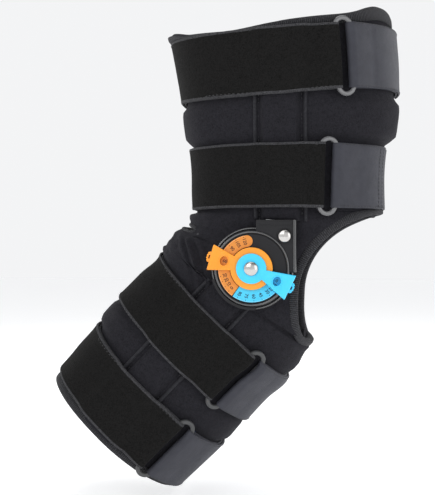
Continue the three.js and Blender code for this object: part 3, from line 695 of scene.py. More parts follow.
def mark_cloth(piece, along, across):
    """The weave's map, in mm along and across a swept strip."""
    mesh = piece.data
    flat = np.stack(np.meshgrid(along, across, indexing="ij"), -1).reshape(-1, 2)
    corner = np.empty(len(mesh.loops), int)
    mesh.loops.foreach_get("vertex_index", corner)
    layer = mesh.uv_layers.new(name="cloth")
    layer.data.foreach_set("uv", flat[np.minimum(corner, len(flat) - 1)].ravel())


def stitches(name, lines, body, length=2.0, gap=1.1, lift_at=None):
    """Stitches along lines of (u, bearing, height, closed) as one mesh of small spindles."""
    around = 6
    rings = [(-1, 0.0), (-0.75, 0.8), (0, 1), (0.75, 0.8), (1, 0.0)]
    template = [(t, r * math.cos(k * TAU / around), r * math.sin(k * TAU / around))
                for t, r in rings for k in range(around)]
    template = np.array(template) * (length / 2, 0.3, 0.24)
    base_faces = grid_faces(len(rings), around, round_columns=True)
    points, faces = [], []
    for u, bearing, h, closed in lines:
        su, sb = resampled(np.asarray(u, float), np.asarray(bearing, float), length + gap, closed)
        h = np.broadcast_to(h, np.shape(u))
        heights = np.interp(np.linspace(0, 1, len(su)), np.linspace(0, 1, len(h)), h)
        centres = surface(su, sb, heights, lift_at)
        t = tangents(centres, closed)
        n = normals(su, sb)
        across = np.cross(n, t)
        across /= np.linalg.norm(across, axis=1, keepdims=True)
        n = np.cross(t, across)
        for centre, *axes in zip(centres, t, across, n):
            start = len(points)
            points.extend(centre + template @ np.stack(axes))
            faces.extend(tuple(start + i for i in f) for f in base_faces)
    add_mesh(name, points, faces, THREAD, body, welded=False)


# ---------------------------------------------------------------- wrap


def bezier(points, count):
    t = np.linspace(0, 1, count)[:, None]
    degree = len(points) - 1
    weights = [math.comb(degree, i) * t**i * (1 - t) ** (degree - i) for i in range(degree + 1)]
    return sum(w * np.array(p) for w, p in zip(weights, points))


def kneecap_outline():
    """The opening's edge seen from the side, as share of the bend and distance from the fan's line."""
    upper = bezier([(100, 43), (62, 38), (34.5, 12), (33, -20)], 60)
    lower = bezier([(33, -20), (32.5, -38), (34, -49), (39.5, -57.5)], 60)
    side_view = np.concatenate([upper, lower[1:]])
    dx, dz = side_view[:, 0] - FAN_X, KNEE_END - side_view[:, 1]
    return np.arctan2(dz, dx) / BEND, np.hypot(dx, dz)


OUTLINE_SHARE, OUTLINE_REACH = kneecap_outline()
OPEN_FROM = KNEE_END * (2 * OUTLINE_SHARE[0] - 1)
OPEN_TO = KNEE_END * (2 * OUTLINE_SHARE[-1] - 1)


def front_edge(u):
    """The bearing, without its side, of the kneecap opening's edge."""
    x, z, _, a, b, n = station(u)
    share = (np.asarray(u, float) / KNEE_END + 1) / 2
    reach = np.interp(share, OUTLINE_SHARE, OUTLINE_REACH)
    centre = np.hypot(x - FAN_X, z - KNEE_END)
    forward = np.clip((reach - centre) / a, -1, 1)
    across = (1 - np.abs(forward) ** n) ** (1 / n)
    inside = (u > OPEN_FROM) & (u < OPEN_TO)
    return np.where(inside, np.arctan2(b * across, a * forward), 0.0)


def back_edge(u):
    """The bearing, without its side, of the slit behind the knee, or pi where the wrap is closed."""
    t = np.clip(1 - ((u - SLIT_MIDDLE) / (SLIT_TO - SLIT_MIDDLE)) ** 2, 0, 1)
    return math.pi - SLIT_HALF * np.sqrt(t)


def cosine_steps(start, end, count):
    return start + (end - start) * (1 - np.cos(np.linspace(0, math.pi, count))) / 2


def wrap_rows():
    """Places along the leg, close together where an opening starts and ends."""
    rows = np.concatenate([
        np.linspace(WRAP_TOP, OPEN_FROM, 48),
        cosine_steps(OPEN_FROM, OPEN_TO, 44),
        cosine_steps(SLIT_FROM, SLIT_TO, 16),
        np.linspace(OPEN_TO, WRAP_END, 52),
    ])
    rows = np.unique(np.round(rows, 3))
    keep = [rows[0]]
    for r in rows[1:]:
        if r - keep[-1] > 0.12:
            keep.append(r)
    return np.array(keep)


def wrap_relief(u, bearing, points):
    """How the cloth stands out: drawn in at the straps, full between them, creased behind the knee."""
    relief = np.full(np.shape(u), CLOTH_OUT)
    for middle in STRAP_MIDDLES.values():
        away = np.abs(u - middle) - STRAP_WIDTH / 2
        drawn_in = CLOTH_UNDER_STRAP + (CLOTH_OUT - CLOTH_UNDER_STRAP) * smooth(-2, 9, away)
        relief = np.minimum(relief, drawn_in)
    for from_end in (u - WRAP_TOP, WRAP_END - u):
        relief = np.minimum(relief, CLOTH_OUT * smooth(2, 12, from_end))
    free = smooth(0.2, 1.2, relief)
    relief = relief + free * (0.9 * wobble(points, 34, 3.1) + 0.5 * wobble(points, 13, 7.7))
    edge = (np.abs(bearing) - front_edge(u)) * LEG_RADIUS
    open_here = (u > OPEN_FROM - 8) & (u < OPEN_TO + 8)
    calm = np.where(open_here, smooth(3, 14, np.maximum(edge, 0)), 1)
    return relief * calm * off_slit(u, bearing, 1, 10) + flare(u, bearing) + knee_folds(u, bearing, points)


def off_slit(u, bearing, start, end):
    """From 0 at the slit's edges to 1 at this distance from them."""
    along = np.maximum(0, np.abs(u - SLIT_MIDDLE) - (SLIT_TO - SLIT_MIDDLE))
    across = np.maximum(0, behind_knee(bearing) - SLIT_REACH)
    return smooth(start, end, np.hypot(along, across))


def knee_folds(u, bearing, points):
    """The cloth of the bent knee: a crumpled bulge below the slit, and gathers that run down from it."""
    behind = behind_knee(bearing)
    bulge = smooth(SLIT_MIDDLE, SLIT_TO, u) * smooth(FOLD_END, FOLD_FADE, u) * smooth(FOLD_REACH, 66, behind)
    crumple = bulge * (1.5 * wobble(points, 21, 1.3) + 0.9 * wobble(points, 9, 5.2))
    # The distance from a slanting line down which the gathers run.
    across = behind - 49 - 0.85 * u + 3 * wobble(points, 26, 6.6)
    along = smooth(-16, -4, u) * smooth(50, 34, u)
    gathers = np.cos(across * 0.55) * np.exp(-((across / 13) ** 2))
    creases = np.cos(across * 1.4 + 2.0 * wobble(points, 12, 4.4)) * np.exp(-(((across - 3) / 15) ** 2))
    return off_slit(u, bearing, 3, 14) * (crumple + along * (1.8 * gathers + 0.8 * creases))


def make_wrap():
    rows = wrap_rows()
    columns = 84
    v = np.linspace(0, 1, columns)
    points, faces = [], []
    for side in (OUTER, INNER):
        front, back = front_edge(rows), back_edge(rows)
        bearing = side * (front[:, None] + (back - front)[:, None] * v[None, :])
        u = hem(np.repeat(rows[:, None], columns, 1), bearing)
        bare = surface(u, bearing)
        shaped = surface(u, bearing, wrap_relief(u, bearing, bare))
        start = len(points)
        points.extend(shaped.reshape(-1, 3))
        for f in grid_faces(len(rows), columns):
            faces.append(tuple(start + i for i in (f if side == INNER else f[::-1])))
    wrap = add_mesh("wrap", points, faces, WRAP)
    wrap.data.materials.append(LINING)
    if sum(face.normal.y * face.center.y for face in wrap.data.polygons) < 0:
        wrap.data.flip_normals()
    shell = wrap.modifiers.new("thickness", "SOLIDIFY")
    shell.thickness = WRAP_THICKNESS * MM
    shell.offset = -1
    shell.material_offset = 1
    baked(wrap)
    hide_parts("thigh_wrap", "calf_wrap", "side_panel_outer", "side_panel_inner")
    cross_knee(wrap)


def cross_knee(piece):
    """The piece's placement is baked into its mesh."""
    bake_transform(piece)


def make_bindings():
    rows = cosine_steps(OPEN_FROM, OPEN_TO, 60)
    edge = front_edge(rows)
    kneecap = edge_tape("kneecap_binding", *there_and_back(rows, -edge, edge), towards=-1)
    rows = cosine_steps(SLIT_FROM, SLIT_TO, 30)
    edge = back_edge(rows)
    back = rolled_tape("slit_binding", *there_and_back(rows, edge, TAU - edge))
    for piece in (kneecap, back):
        cross_knee(piece)
    round_leg = np.linspace(0, TAU, 120, endpoint=False)
    ends = [("top_binding", WRAP_TOP, "thigh", -1), ("bottom_binding", WRAP_END, "calf", 1)]
    for name, at, body, towards in ends:
        band = edge_tape(name, hem(np.full(120, float(at)), round_leg), round_leg, towards)
        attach(band, body)


def there_and_back(rows, down, up):
    """A closed path down one edge of an opening and up the other."""
    return np.concatenate([rows, rows[::-1][1:-1]]), np.concatenate([down, up[::-1][1:-1]])


# ---------------------------------------------------------------- bar pockets


def pocket_height(off):
    """Height of the pocket over the wrap: a corded edge, the groove of its seam, and the bar's own step."""
    away = np.abs(off)
    cord = CORD_HEIGHT * np.sqrt(np.clip(1 - ((away - CORD_AT) / CORD_HALF) ** 2, 0, 1))
    return 0.2 + cord + 5.2 * smooth(16.0, 11.4, away)


def bar_cover(body, off, points):
    """How high the pocket has to stand to clear the bar, which stays out near the hinge."""
    if body == "thigh":
        face = BAR_FACE + BAR_LEAN * np.maximum(0, points[..., 2] - KNEE_END)
    else:
        down = -points[..., 0] * math.sin(BEND) - points[..., 2] * math.cos(BEND)
        face = np.interp(down, *zip(*CALF_BAR))
    return (face + BAR_CLEARANCE - np.abs(points[..., 1])) * smooth(15, 12.2, np.abs(off))


def make_pocket(body, side_name):
    side = SIDES[side_name]
    rows = np.linspace(*POCKET_ENDS[body], 60)
    line = bar_line(body, rows)
    offsets = np.linspace(-POCKET_HALF, POCKET_HALF, 67)
    u, off = np.meshgrid(rows, offsets, indexing="ij")
    bearing = bearing_at(u, line[:, None] + off, side)
    bare = surface(u, bearing)
    height = pocket_height(off) + 0.4 * wobble(bare, 16, 2.2) * smooth(18, 12, np.abs(off))
    height = np.maximum(height, bar_cover(body, off, bare))
    columns = len(offsets)
    count = len(rows) * columns
    points = np.concatenate([surface(u, bearing, h).reshape(-1, 3) for h in (height, -0.3)])
    faces = grid_faces(len(rows), columns)
    faces += [tuple(count + i for i in f[::-1]) for f in faces]
    index = np.arange(count).reshape(len(rows), columns)
    rim = [*index[0], *index[1:, -1], *index[-1, -2::-1], *index[-2:0:-1, 0]]
    faces += [(a, b, b + count, a + count) for a, b in zip(rim, rim[1:] + rim[:1])]
    piece = add_mesh(f"{body}_pocket_{side_name}", points, faces, WRAP, body)
    # The faces over the cord take the lighter cloth: a painted highlight along the corded edge.
    piece.data.materials.append(CORD)
    for face in piece.data.polygons:
        spots = [v % count % columns for v in face.vertices]
        if all(abs(abs(offsets[k]) - CORD_AT) < CORD_HALF for k in spots):
            face.material_index = 1
    stand_in(piece, f"{body}_bar_pocket_{side_name}")
    edges = (-POCKET_SEAM, POCKET_SEAM)
    seams = [(rows, bearing_at(rows, line + edge, side), 0.5, False) for edge in edges]
    stitches(f"{body}_pocket_seam_{side_name}", seams, body)


# ---------------------------------------------------------------- straps


def strap_bump(u, bearing):
    """How far a strap stands out where it crosses the bar pocket."""
    line = np.where(u < 0, BAR_LINES["thigh"], BAR_LINES["calf"])
    off = np.abs(forward_of_hinge(u, bearing) - line)
    on_side = np.abs(np.sin(bearing)) > 0.6
    return np.where(on_side, 4.9 * smooth(27, 14.5, off), 0.0)


def catmull(points, per_span):
    """A smooth curve through given points."""
    p = np.array([points[0], *points, points[-1]], float)
    curve = []
    for k in range(1, len(p) - 2):
        for t in np.linspace(0, 1, per_span, endpoint=False):
            a, b, c, d = p[k - 1], p[k], p[k + 1], p[k + 2]
            curve.append(0.5 * (2 * b + (c - a) * t + (2 * a - 5 * b + 4 * c - d) * t**2
                                + (3 * b - a - 3 * c + d) * t**3))
    curve.append(p[-2])
    return np.array(curve)


def fold_through_ring(thickness):
    """Distance from the ring's middle and height, from under the strip's own end, round the ring's bar."""
    low = 0.7 + thickness / 2
    high = low + thickness + 0.5
    bar, height, radius = RING_HALF_WIDTH, 5.5, RING_BAR + thickness / 2 + 0.1
    angles = np.radians([-62, -31, 0, 31, 62])
    turn = [(bar - radius * math.cos(a), height + radius * math.sin(a)) for a in angles]
    return [(30, low), (20, low), (12, low + 0.1), (7.2, low + 0.6), *turn, (bar + 1, height + radius),
            (bar + 4, height + radius - 0.8), (14.5, 6.2), (19.5, 4.9), (25, high + 0.15), (30, high)]


def arc_lengths(u, bearing, sense, turn):
    angles = bearing + sense * np.linspace(-0.5, turn + 0.3, 500)
    steps = np.linalg.norm(np.diff(surface(np.full(500, float(u)), angles), axis=0), axis=1)
    length = np.concatenate([[0], np.cumsum(steps)])
    zero = np.interp(0.5, np.linspace(0, turn + 0.8, 500), length)
    return length - zero, angles


def ribbon(name, body, middle, bearing, sense, under, over, thickness, looks, wave, seed):
    """A strip that comes round the leg, through the ring and back over itself, in a look for its faces
    and one for its edges. Also its path, and the bearing at each length round the leg."""
    under, over = math.radians(under), math.radians(over)
    length, angles = arc_lengths(middle, bearing, sense, max(under, over))
    under_mm = np.interp(under, np.abs(angles - bearing), length)
    over_mm = np.interp(over, np.abs(angles - bearing), length)
    fold = fold_through_ring(thickness)
    path = catmull(fold, 6)
    far_under = [(q, fold[0][1]) for q in np.arange(under_mm, fold[0][0] + 2, -4)]
    far_over = [(q, fold[-1][1]) for q in np.arange(fold[-1][0] + 4, over_mm, 4)] + [(over_mm, fold[-1][1])]
    path = np.concatenate([np.array(far_under), path, np.array(far_over)])
    t = tangents(path, False)
    normal = np.stack([-t[:, 1], t[:, 0]], 1) * -1
    half, thin = STRAP_WIDTH / 2, thickness / 2
    inside = np.linspace(-half + 1.9, half - 1.9, 15)
    across = np.array([-half + 0.6, *inside, half - 0.6])
    edge = [(half - 0.25, 0.7), (half, 0), (half - 0.25, -0.7)]
    section = [(w, 1.0) for w in across] + edge
    section = np.array(section + [(-w, -k) for w, k in section])
    shape = (len(path), len(section))
    w = np.broadcast_to(section[None, :, 0], shape).copy()
    k = np.broadcast_to(section[None, :, 1] * thin, shape)
    q = path[:, None, 0] + normal[:, None, 0] * k
    h = path[:, None, 1] + normal[:, None, 1] * k
    u = middle + w
    round_leg = np.interp(q, length, angles)
    bare = surface(u, round_leg, lift_at=middle)
    drift = wobble(bare, 45, seed)
    u = u + wave * drift * 0.9
    h = h + strap_bump(u, round_leg) + wave * 0.55 * np.maximum(0, wobble(bare, 22, seed + 4))
    points = surface(u, round_leg, h, lift_at=middle)
    piece = add_mesh(name, points.reshape(-1, 3), swept(points, False), looks[0], body)
    piece.data.materials.append(looks[1])
    paint_edges(piece, np.abs(section[:, 0]) > half - 2)
    along = np.concatenate([[0], np.cumsum(np.linalg.norm(np.diff(path, axis=0), axis=1))])
    mark_cloth(piece, along, section[:, 0])
    return piece, path, length, angles


def paint_edges(piece, outermost):
    """The faces between a section's outermost points take the second material."""
    for face in piece.data.polygons:
        if len(face.vertices) == 4 and all(outermost[v % len(outermost)] for v in face.vertices):
            face.material_index = 1


def strip_stitches(name, body, middle, path, length, angles, thickness, spots, crosses):
    """Stitch lines along a strip's outer layer, and across it at some distances from its end."""
    top = path[np.argmax(path[:, 1]):]
    top = top[top[:, 0] > 9]
    runs = [(middle + np.full(len(top), spot), top[:, 0]) for spot in spots]
    runs += [(middle + np.linspace(-22, 22, 12), np.full(12, top[-1, 0] - back)) for back in crosses]
    lines = []
    for u, q in runs:
        bearing = np.interp(q, length, angles)
        h = np.interp(q, top[:, 0], top[:, 1]) + thickness / 2 + strap_bump(u, bearing) + 0.1
        lines.append((u, bearing, h, False))
    stitches(name, lines, body, lift_at=middle)


def make_strap_set(name):
    body = name.split("_")[1]
    middle = STRAP_MIDDLES[name]
    bearing = math.radians(RING_BEARINGS[name] - 360)
    seed = middle / 10
    # What it is called and stands for, then its run, its looks, and its seams along and across.
    strips = [
        ("velvet", "strap", "strap_fabric", (-1, STRAP_TURN, STRAP_DOUBLED[name], STRAP_THICKNESS),
         ((VELVET, SELVAGE), 1.0, seed), ((-22.6, 22.6), (4,))),
        ("tab", "ring_tab", "grey_webbing", (1, TAB_TURN, TAB_DOUBLED[name], TAB_THICKNESS),
         ((WEBBING, WEBBING), 0.35, seed + 9), ((-23.2, 23.2), (3, 9))),
    ]
    for kind, node, slot, run, looks, seams in strips:
        strip, *course = ribbon(f"{name}_{kind}", body, middle, bearing, *run, *looks)
        stand_in(strip, f"{name}_{node}")
        strip_stitches(f"{name}_{kind}_stitches", body, middle, *course, run[-1], *seams)
    make_ring(name, body)


def vertex_places(mesh):
    places = np.empty(len(mesh.vertices) * 3)
    mesh.vertices.foreach_get("co", places)
    return places.reshape(-1, 3)


def make_ring(name, body):
    """The oval ring, made on the place and the axes of its plain solid."""
    place = vertex_places(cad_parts[f"{name}_ring"].data) / MM
    centre = place.mean(0)
    length, across, out = np.linalg.svd(place - centre)[2]
    out = out * np.sign(np.dot(out, (0, OUTER, 0)))
    straight = RING_HALF_LENGTH - RING_HALF_WIDTH
    path = []
    for k in range(48):
        c, s = math.cos(k * TAU / 48), math.sin(k * TAU / 48)
        path.append(np.array([math.copysign(straight, c) + RING_HALF_WIDTH * c, RING_HALF_WIDTH * s, c, s]))
    oval = []
    for here, after in zip(path, path[1:] + path[:1]):
        oval.append(here)
        if here[0] * after[0] < 0:
            level = (0.0, math.copysign(1, here[1]))
            oval += [(*(here + (after - here) * share)[:2], *level) for share in np.linspace(0, 1, 8)[1:-1]]
    points = []
    for px, py, nx, ny in oval:
        for j in range(14):
            c, s = math.cos(j * TAU / 14), math.sin(j * TAU / 14)
            fat = RING_BAR * (abs(c) ** 3 + abs(s) ** 3) ** (-1 / 3)
            spot = length * (px + nx * fat * c) + across * (py + ny * fat * c) + out * (fat * s)
            points.append(centre + spot)
    faces = swept(np.reshape(points, (len(oval), 14, 3)), True)
    look = RING_GLOSSY if body == "thigh" else RING_MATTE
    stand_in(add_mesh(f"{name}_oval_ring", points, faces, look, body), f"{name}_ring")


# ---------------------------------------------------------------- hinge


def turned(name, profile, material, side, x=0.0, z=0.0, segments=72, hollow=False):
    """A closed body turned about the hinge axis, from (radius, w) points: a solid, or a ring if hollow."""
    points = []
    for r, w in profile:
        for k in range(segments):
            angle = k * TAU / segments
            points.append((x + r * math.cos(angle), side * w, z + r * math.sin(angle)))
    faces = swept(np.reshape(points, (len(profile), segments, 3)), hollow)
    return sharpen(add_mesh(name, points, faces, material))


def prism(name, loops, w0, w1, material, side, bevel=0.25, turn=0.0):
    """A plate with rounded edges from outlines in x and z, the first of them the outside."""
    curve = bpy.data.curves.new(name, "CURVE")
    curve.dimensions = "2D"
    curve.fill_mode = "BOTH"
    for loop in loops:
        spline = curve.splines.new("POLY")
        spline.points.add(len(loop) - 1)
        for point, (x, z) in zip(spline.points, loop):
            point.co = (x, z, 0, 1)
        spline.use_cyclic_u = True
    curve.extrude = (w1 - w0) / 2 - bevel
    curve.bevel_depth = bevel
    curve.bevel_resolution = 2
    curve.offset = -bevel
    points, faces = outline_mesh(curve)
    c, s = math.cos(math.radians(turn)), math.sin(math.radians(turn))
    x, z = points[:, 0] * c - points[:, 1] * s, points[:, 0] * s + points[:, 1] * c
    placed = np.stack([x, side * (points[:, 2] + (w0 + w1) / 2), z], 1)
    return sharpen(add_mesh(name, placed, faces, material))


def arc(radius, start, end, count, x=0.0, z=0.0):
    angles = np.radians(np.linspace(start, end, count))
    return [(x + radius * math.cos(a), z + radius * math.sin(a)) for a in angles]


def rounded(corners, radius, steps=5):
    """A polygon with its corners rounded."""
    loop = []
    count = len(corners)
    for k, corner in enumerate(corners):
        p = np.array(corner, float)
        before = np.array(corners[k - 1], float) - p
        after = np.array(corners[(k + 1) % count], float) - p
        cut = min(radius, np.linalg.norm(before) / 2.2, np.linalg.norm(after) / 2.2)
        a = p + before / np.linalg.norm(before) * cut
        b = p + after / np.linalg.norm(after) * cut
        for t in np.linspace(0, 1, steps):
            loop.append(tuple((1 - t) ** 2 * a + 2 * t * (1 - t) * p + t**2 * b))
    return loop


def joined(name, parts, body, node):
    """Several meshes as one piece, each with its own material, in place of a plain solid."""
    work = bmesh.new()
    materials = []
    for part in parts:
        start = len(work.faces)
        work.from_mesh(part.data)
        work.faces.ensure_lookup_table()
        if part.data.materials[0] not in materials:
            materials.append(part.data.materials[0])
        for face in work.faces[start:]:
            face.material_index = materials.index(part.data.materials[0])
    mesh = bpy.data.meshes.new(name)
    work.to_mesh(mesh)
    work.free()
    for material in materials:
        mesh.materials.append(material)
    for part in parts:
        bpy.data.objects.remove(part)
    piece = in_scene(name, mesh)
    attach(piece, body)
    stand_in(piece, node)


def numeral(text, angle, w, material, side, inwards):
    """A number that reads along the dial's radius, readable from outside on both hinges."""
    curve = bpy.data.curves.new("numeral", "FONT")
    curve.body = text
    curve.size = NUMERAL_SIZE
    curve.align_x = "CENTER"
    curve.align_y = "CENTER"
    curve.extrude = 0.05
    curve.offset = 0.05
    points, faces = outline_mesh(curve)
    outwards = np.array([math.cos(math.radians(angle)), math.sin(math.radians(angle))])
    right = -outwards if inwards else outwards
    up = np.array([-right[1], right[0]]) * (1 if side == OUTER else -1)
    flat = outwards * NUMERAL_RADIUS + points[:, :1] * right + points[:, 1:2] * up
    placed = np.stack([flat[:, 0], side * (w + points[:, 2]), flat[:, 1]], 1)
    return add_mesh("numeral", placed, faces, material, smooth_shaded=False)


def sector_loop(r0, r1, start, end, count=40):
    return arc(r1, start, end, count) + arc(r0, end, start, count)


def make_scale(kind, side_name):
    side = SIDES[side_name]
    name = f"{kind}_scale_{side_name}"
    if kind == "flexion":
        zero, marks, slot = FLEXION_ZERO, FLEXION_MARKS, "orange_scale"
        look, ink, edge = ORANGE_PRINT, ORANGE_INK, ORANGE_EDGE_HIGHLIGHT
        start, end, half = 100, 234, 4.4
        middle = SCALE_RADIUS - half
        loop = arc(SCALE_RADIUS, start, end, 48) + arc(SCALE_RADIUS - 2 * half, end, start, 40)
        tip = (middle * math.cos(math.radians(start)), middle * math.sin(math.radians(start)))
        loop += arc(half, start - 180, start, 14, *tip)[1:-1]
    else:
        zero, marks, slot = EXTENSION_ZERO, EXTENSION_MARKS, "blue_scale"
        look, ink, edge = BLUE_PRINT, BLUE_INK, BLUE_EDGE_HIGHLIGHT
        start, end = 235.5, 345
        loop = sector_loop(14.5, SCALE_RADIUS, start, end)
    low, high = SCALE, SCALE + 0.5
    # A thin raised rim round the scale's outer edge, painted lighter as a painted highlight.
    rim = sector_loop(24.75, 25.15, start + 1, end - 1)
    tick = [(23.7, -0.16), (24.6, -0.16), (24.6, 0.16), (23.7, 0.16)]
    parts = [prism(name, [loop], low, high, look, side, 0.12),
             prism("line", [rim], high - 0.05, high + 0.12, edge, side, 0.05)]
    for mark in marks:
        angle = zero - mark
        parts.append(numeral(str(mark), angle, high + 0.03, ink, side, kind == "flexion"))
        parts.append(prism("tick", [tick], high - 0.05, high + 0.1, ink, side, 0.02, angle))
    joined(f"{name}_printed", parts, "thigh", name)


def make_stop(kind, side_name):
    """A stop's ring and its wedge with a finger window, hooked over the dial, and its finger tab."""
    side = SIDES[side_name]
    body = f"{kind}_stop_{side_name}"
    if kind == "flexion":
        ring, low, high, bevel = FLEXION_RING, CLIP, CLIP + 2.3, 0.42
        look, slot, turn = ORANGE, "orange_plastic", FLEXION_ZERO - FLEXION_SETTING
    else:
        ring, low, high, bevel = EXTENSION_RING, TOP, TOP + 1.9, 0.8
        look, slot, turn = BLUE, "blue_plastic", EXTENSION_ZERO - EXTENSION_SETTING
    spread = math.tan(math.radians(CLIP_HALF_ANGLE))
    middle = 21.4
    turns = np.linspace(0, TAU, 28, endpoint=False)
    window = [(middle + 3.0 * math.cos(a), 3.6 * math.sin(a)) for a in turns]
    wider = [(middle + (x - middle) * 1.28, z * 1.22) for x, z in window]
    inner, corner = CLIP_REACH - 3, CLIP_REACH * spread
    end = rounded([(inner, -inner * spread), (CLIP_REACH, -corner), (CLIP_REACH, corner),
                   (inner, inner * spread)], 1.1)[5:15]
    outline = arc(ring, CLIP_HALF_ANGLE + 3, 360 - CLIP_HALF_ANGLE - 3, 64) + end
    pivot = arc(PIVOT_HOLE, 360, 0, 32)[:-1]
    parts = [prism(body, [outline, window, pivot], low, high, look, side, bevel, turn)]
    if kind == "extension":
        foot = rounded([(16.6, -16.6 * spread), (CLIP_REACH, -corner), (CLIP_REACH, corner),
                        (16.6, 16.6 * spread)], 0.8)
        parts.append(prism("foot", [foot, window], CLIP, low + 0.6, look, side, 0.2, turn))
    hook = sector_loop(29, CLIP_REACH, -13.6, 13.6, 16)
    parts.append(prism("hook", [hook], BASE + 3.3, CLIP + 0.5, look, side, 0.3, turn))
    parts.append(prism("lip", [wider, window], high - 0.2, high + 0.28, look, side, 0.1, turn))
    joined(f"{body}_moulded", parts, body, body)

    # The finger tab has a scalloped end and a slot.
    tab = f"{kind}_release_tab_{side_name}"
    z = np.linspace(-4, 4, 41)
    reach = 35.2 - 0.08 * z * z - 0.5 * (1 - np.abs(np.sin(math.pi * z / 2)))
    outline = [(27.2, -4), *zip(reach, z), (27.2, 4)]
    hole = rounded([(32.6, -1.4), (33.6, -1.4), (33.6, 1.4), (32.6, 1.4)], 0.5)
    plate = prism(tab, [outline, hole], CLIP + 0.2, CLIP + 1.4, look, side, 0.18, turn)
    joined(f"{tab}_moulded", [plate], tab, tab)


def ridge(radius, level, half):
    """Profile of a rounded ridge round the dial."""
    angles = np.linspace(0, math.pi, 9)
    return [(radius - half * math.cos(t), level + half * math.sin(t)) for t in angles]


def make_lower_cover(side_name):
    side = SIDES[side_name]
    face = BASE + 2.1
    profile = [(PIVOT_HOLE, face), (29.0, face), (29.3, face), (30.9, face), (BASE_RADIUS, face - 0.5),
               (BASE_RADIUS, BASE + 0.5), (BASE_RADIUS - 0.5, BASE), (PIVOT_HOLE, BASE)]
    plate = turned("lower_cover", profile, BLACK, side, segments=DIAL_SEGMENTS)
    profile = [(29.2, face - 0.3), *ridge(30.1, face, 0.8), (31.0, face - 0.3)]
    rim = turned("rim", profile, GLOSSY_BLACK, side, segments=DIAL_SEGMENTS, hollow=True)
    start = FLEXION_ZERO + LUG_CLEARANCE - math.degrees(BEND)
    end = EXTENSION_ZERO - LUG_CLEARANCE - math.degrees(BEND)
    lug = prism("lug", [sector_loop(29, BASE_RADIUS, start, end)], face - 0.1, DIAL + 3.4, BLACK, side)
    name = f"lower_cover_{side_name}"
    joined(f"{name}_moulded", [plate, rim, lug], "calf", name)


def make_upper_cover(side_name):
    """The dial, and the arm that holds the thigh's bar: its block, deck, ribs and the rivet's boss."""
    side = SIDES[side_name]
    face, rim = DIAL + 4, SCALE
    profile = [(PIVOT_HOLE, face), (25.7, face), (25.9, face - 0.5), (26.3, face - 0.5), (26.5, face),
               (28.2, rim - 0.3), (DIAL_RADIUS, rim - 0.6), (DIAL_RADIUS, DIAL + 0.2),
               (DIAL_RADIUS - 0.2, DIAL), (PIVOT_HOLE, DIAL)]
    dial = turned("upper_cover", profile, BLACK, side, segments=DIAL_SEGMENTS)
    profile = [(26.5, rim - 0.6), *ridge(27.4, rim - 0.3, 0.85), (28.3, rim - 0.6)]
    edge = turned("edge", profile, GLOSSY_BLACK, side, segments=DIAL_SEGMENTS, hollow=True)
    top, left, right, bottom = 36.6, 3.2, 33.2, -3.0

    def round_dial(radius):
        start, end = math.acos(left / radius), math.asin(bottom / radius)
        return arc(radius, math.degrees(start), math.degrees(end), 24)

    low_loop = [(right, bottom), (right, top), (left, top)] + round_dial(BASE_RADIUS + 0.4)
    block = prism("arm_block", [low_loop], BASE, DIAL + 0.5, BLACK, side, 0.4)
    corner = rounded([(right, bottom), (right, top), (left, top)], 1.4)[5:10]
    high_loop = [(right, bottom), *corner, (left + 1, top), (left, top - 1)] + round_dial(27)
    deck = prism("arm_deck", [high_loop], DIAL, face - 0.4, BLACK, side, 0.5)
    wall = rounded([(31, bottom + 0.3), (right, bottom + 0.3), (right, top), (31, top)], 0.9)
    rib = prism("arm_rib", [wall], face - 0.8, face + 0.5, GLOSSY_BLACK, side, 0.55)
    wall = rounded([(5, 32.6), (30.6, 32.6), (30.6, 35.6), (5, 35.6)], 0.8)
    step = prism("arm_step", [wall], face - 0.8, face - 0.05, BLACK, side)
    profile = [(4.9, face - 0.8), *ridge(5.6, face - 0.4, 0.5), (6.3, face - 0.8)]
    boss = turned("arm_boss", profile, BLACK, side, *ARM_RIVET, segments=48, hollow=True)
    name = f"upper_cover_{side_name}"
    parts = [dial, edge, block, deck, rib, step, boss]
    joined(f"{name}_moulded", parts, "thigh", name)


def dome(radius, height, base):
    """Profile of a domed head with a small rolled edge."""
    crown = [(radius * math.cos(a), base + 0.5 + (height - 0.5) * math.sin(a))
             for a in np.linspace(0, math.pi / 2, 14)[:-1]]
    return [(radius - 0.6, base), (radius, base + 0.25), *crown, (0.05, base + height)]


def make_rivets(side_name):
    side = SIDES[side_name]
    pivot = turned("pivot", dome(5.4, 2.9, HEAD), CHROME, side)
    profile = [(3, HEAD + 0.2), (3, 66.4), (6, 66.4), (6, 65.3)]
    shank = turned("shank", profile, CHROME, side, segments=32)
    name = f"pivot_rivet_{side_name}"
    joined(f"{name}_domed", [pivot, shank], "thigh", name)
    face = DIAL + 3.9
    head = turned("head", dome(4.7, 2.2, face), CHROME, side, *ARM_RIVET)
    profile = [(2.4, face + 0.2), (2.4, 66.5), (3.8, 66.5), (3.8, 65.5)]
    shank = turned("shank", profile, CHROME, side, *ARM_RIVET, segments=32)
    name = f"thigh_bar_rivet_{side_name}"
    joined(f"{name}_domed", [head, shank], "thigh", name)


def make_pad(side_name):
    """The foam pad between hinge and knee: a crowned disc in its cloth cover, puffed by simulation."""
    profile = [(0.05, 54.8), (12, 54.8), (21, 54.4), (24.4, 53.0), (25.2, 51.2), (24.4, 49.4), (21.5, 48.6),
               (12, 48.2), (0.05, 48.2)]
    pad = turned(f"condyle_pad_{side_name}_cover", profile, LINING, SIDES[side_name], segments=64)
    puffed(pad)
    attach(pad, "thigh")
    stand_in(pad, f"condyle_pad_{side_name}")


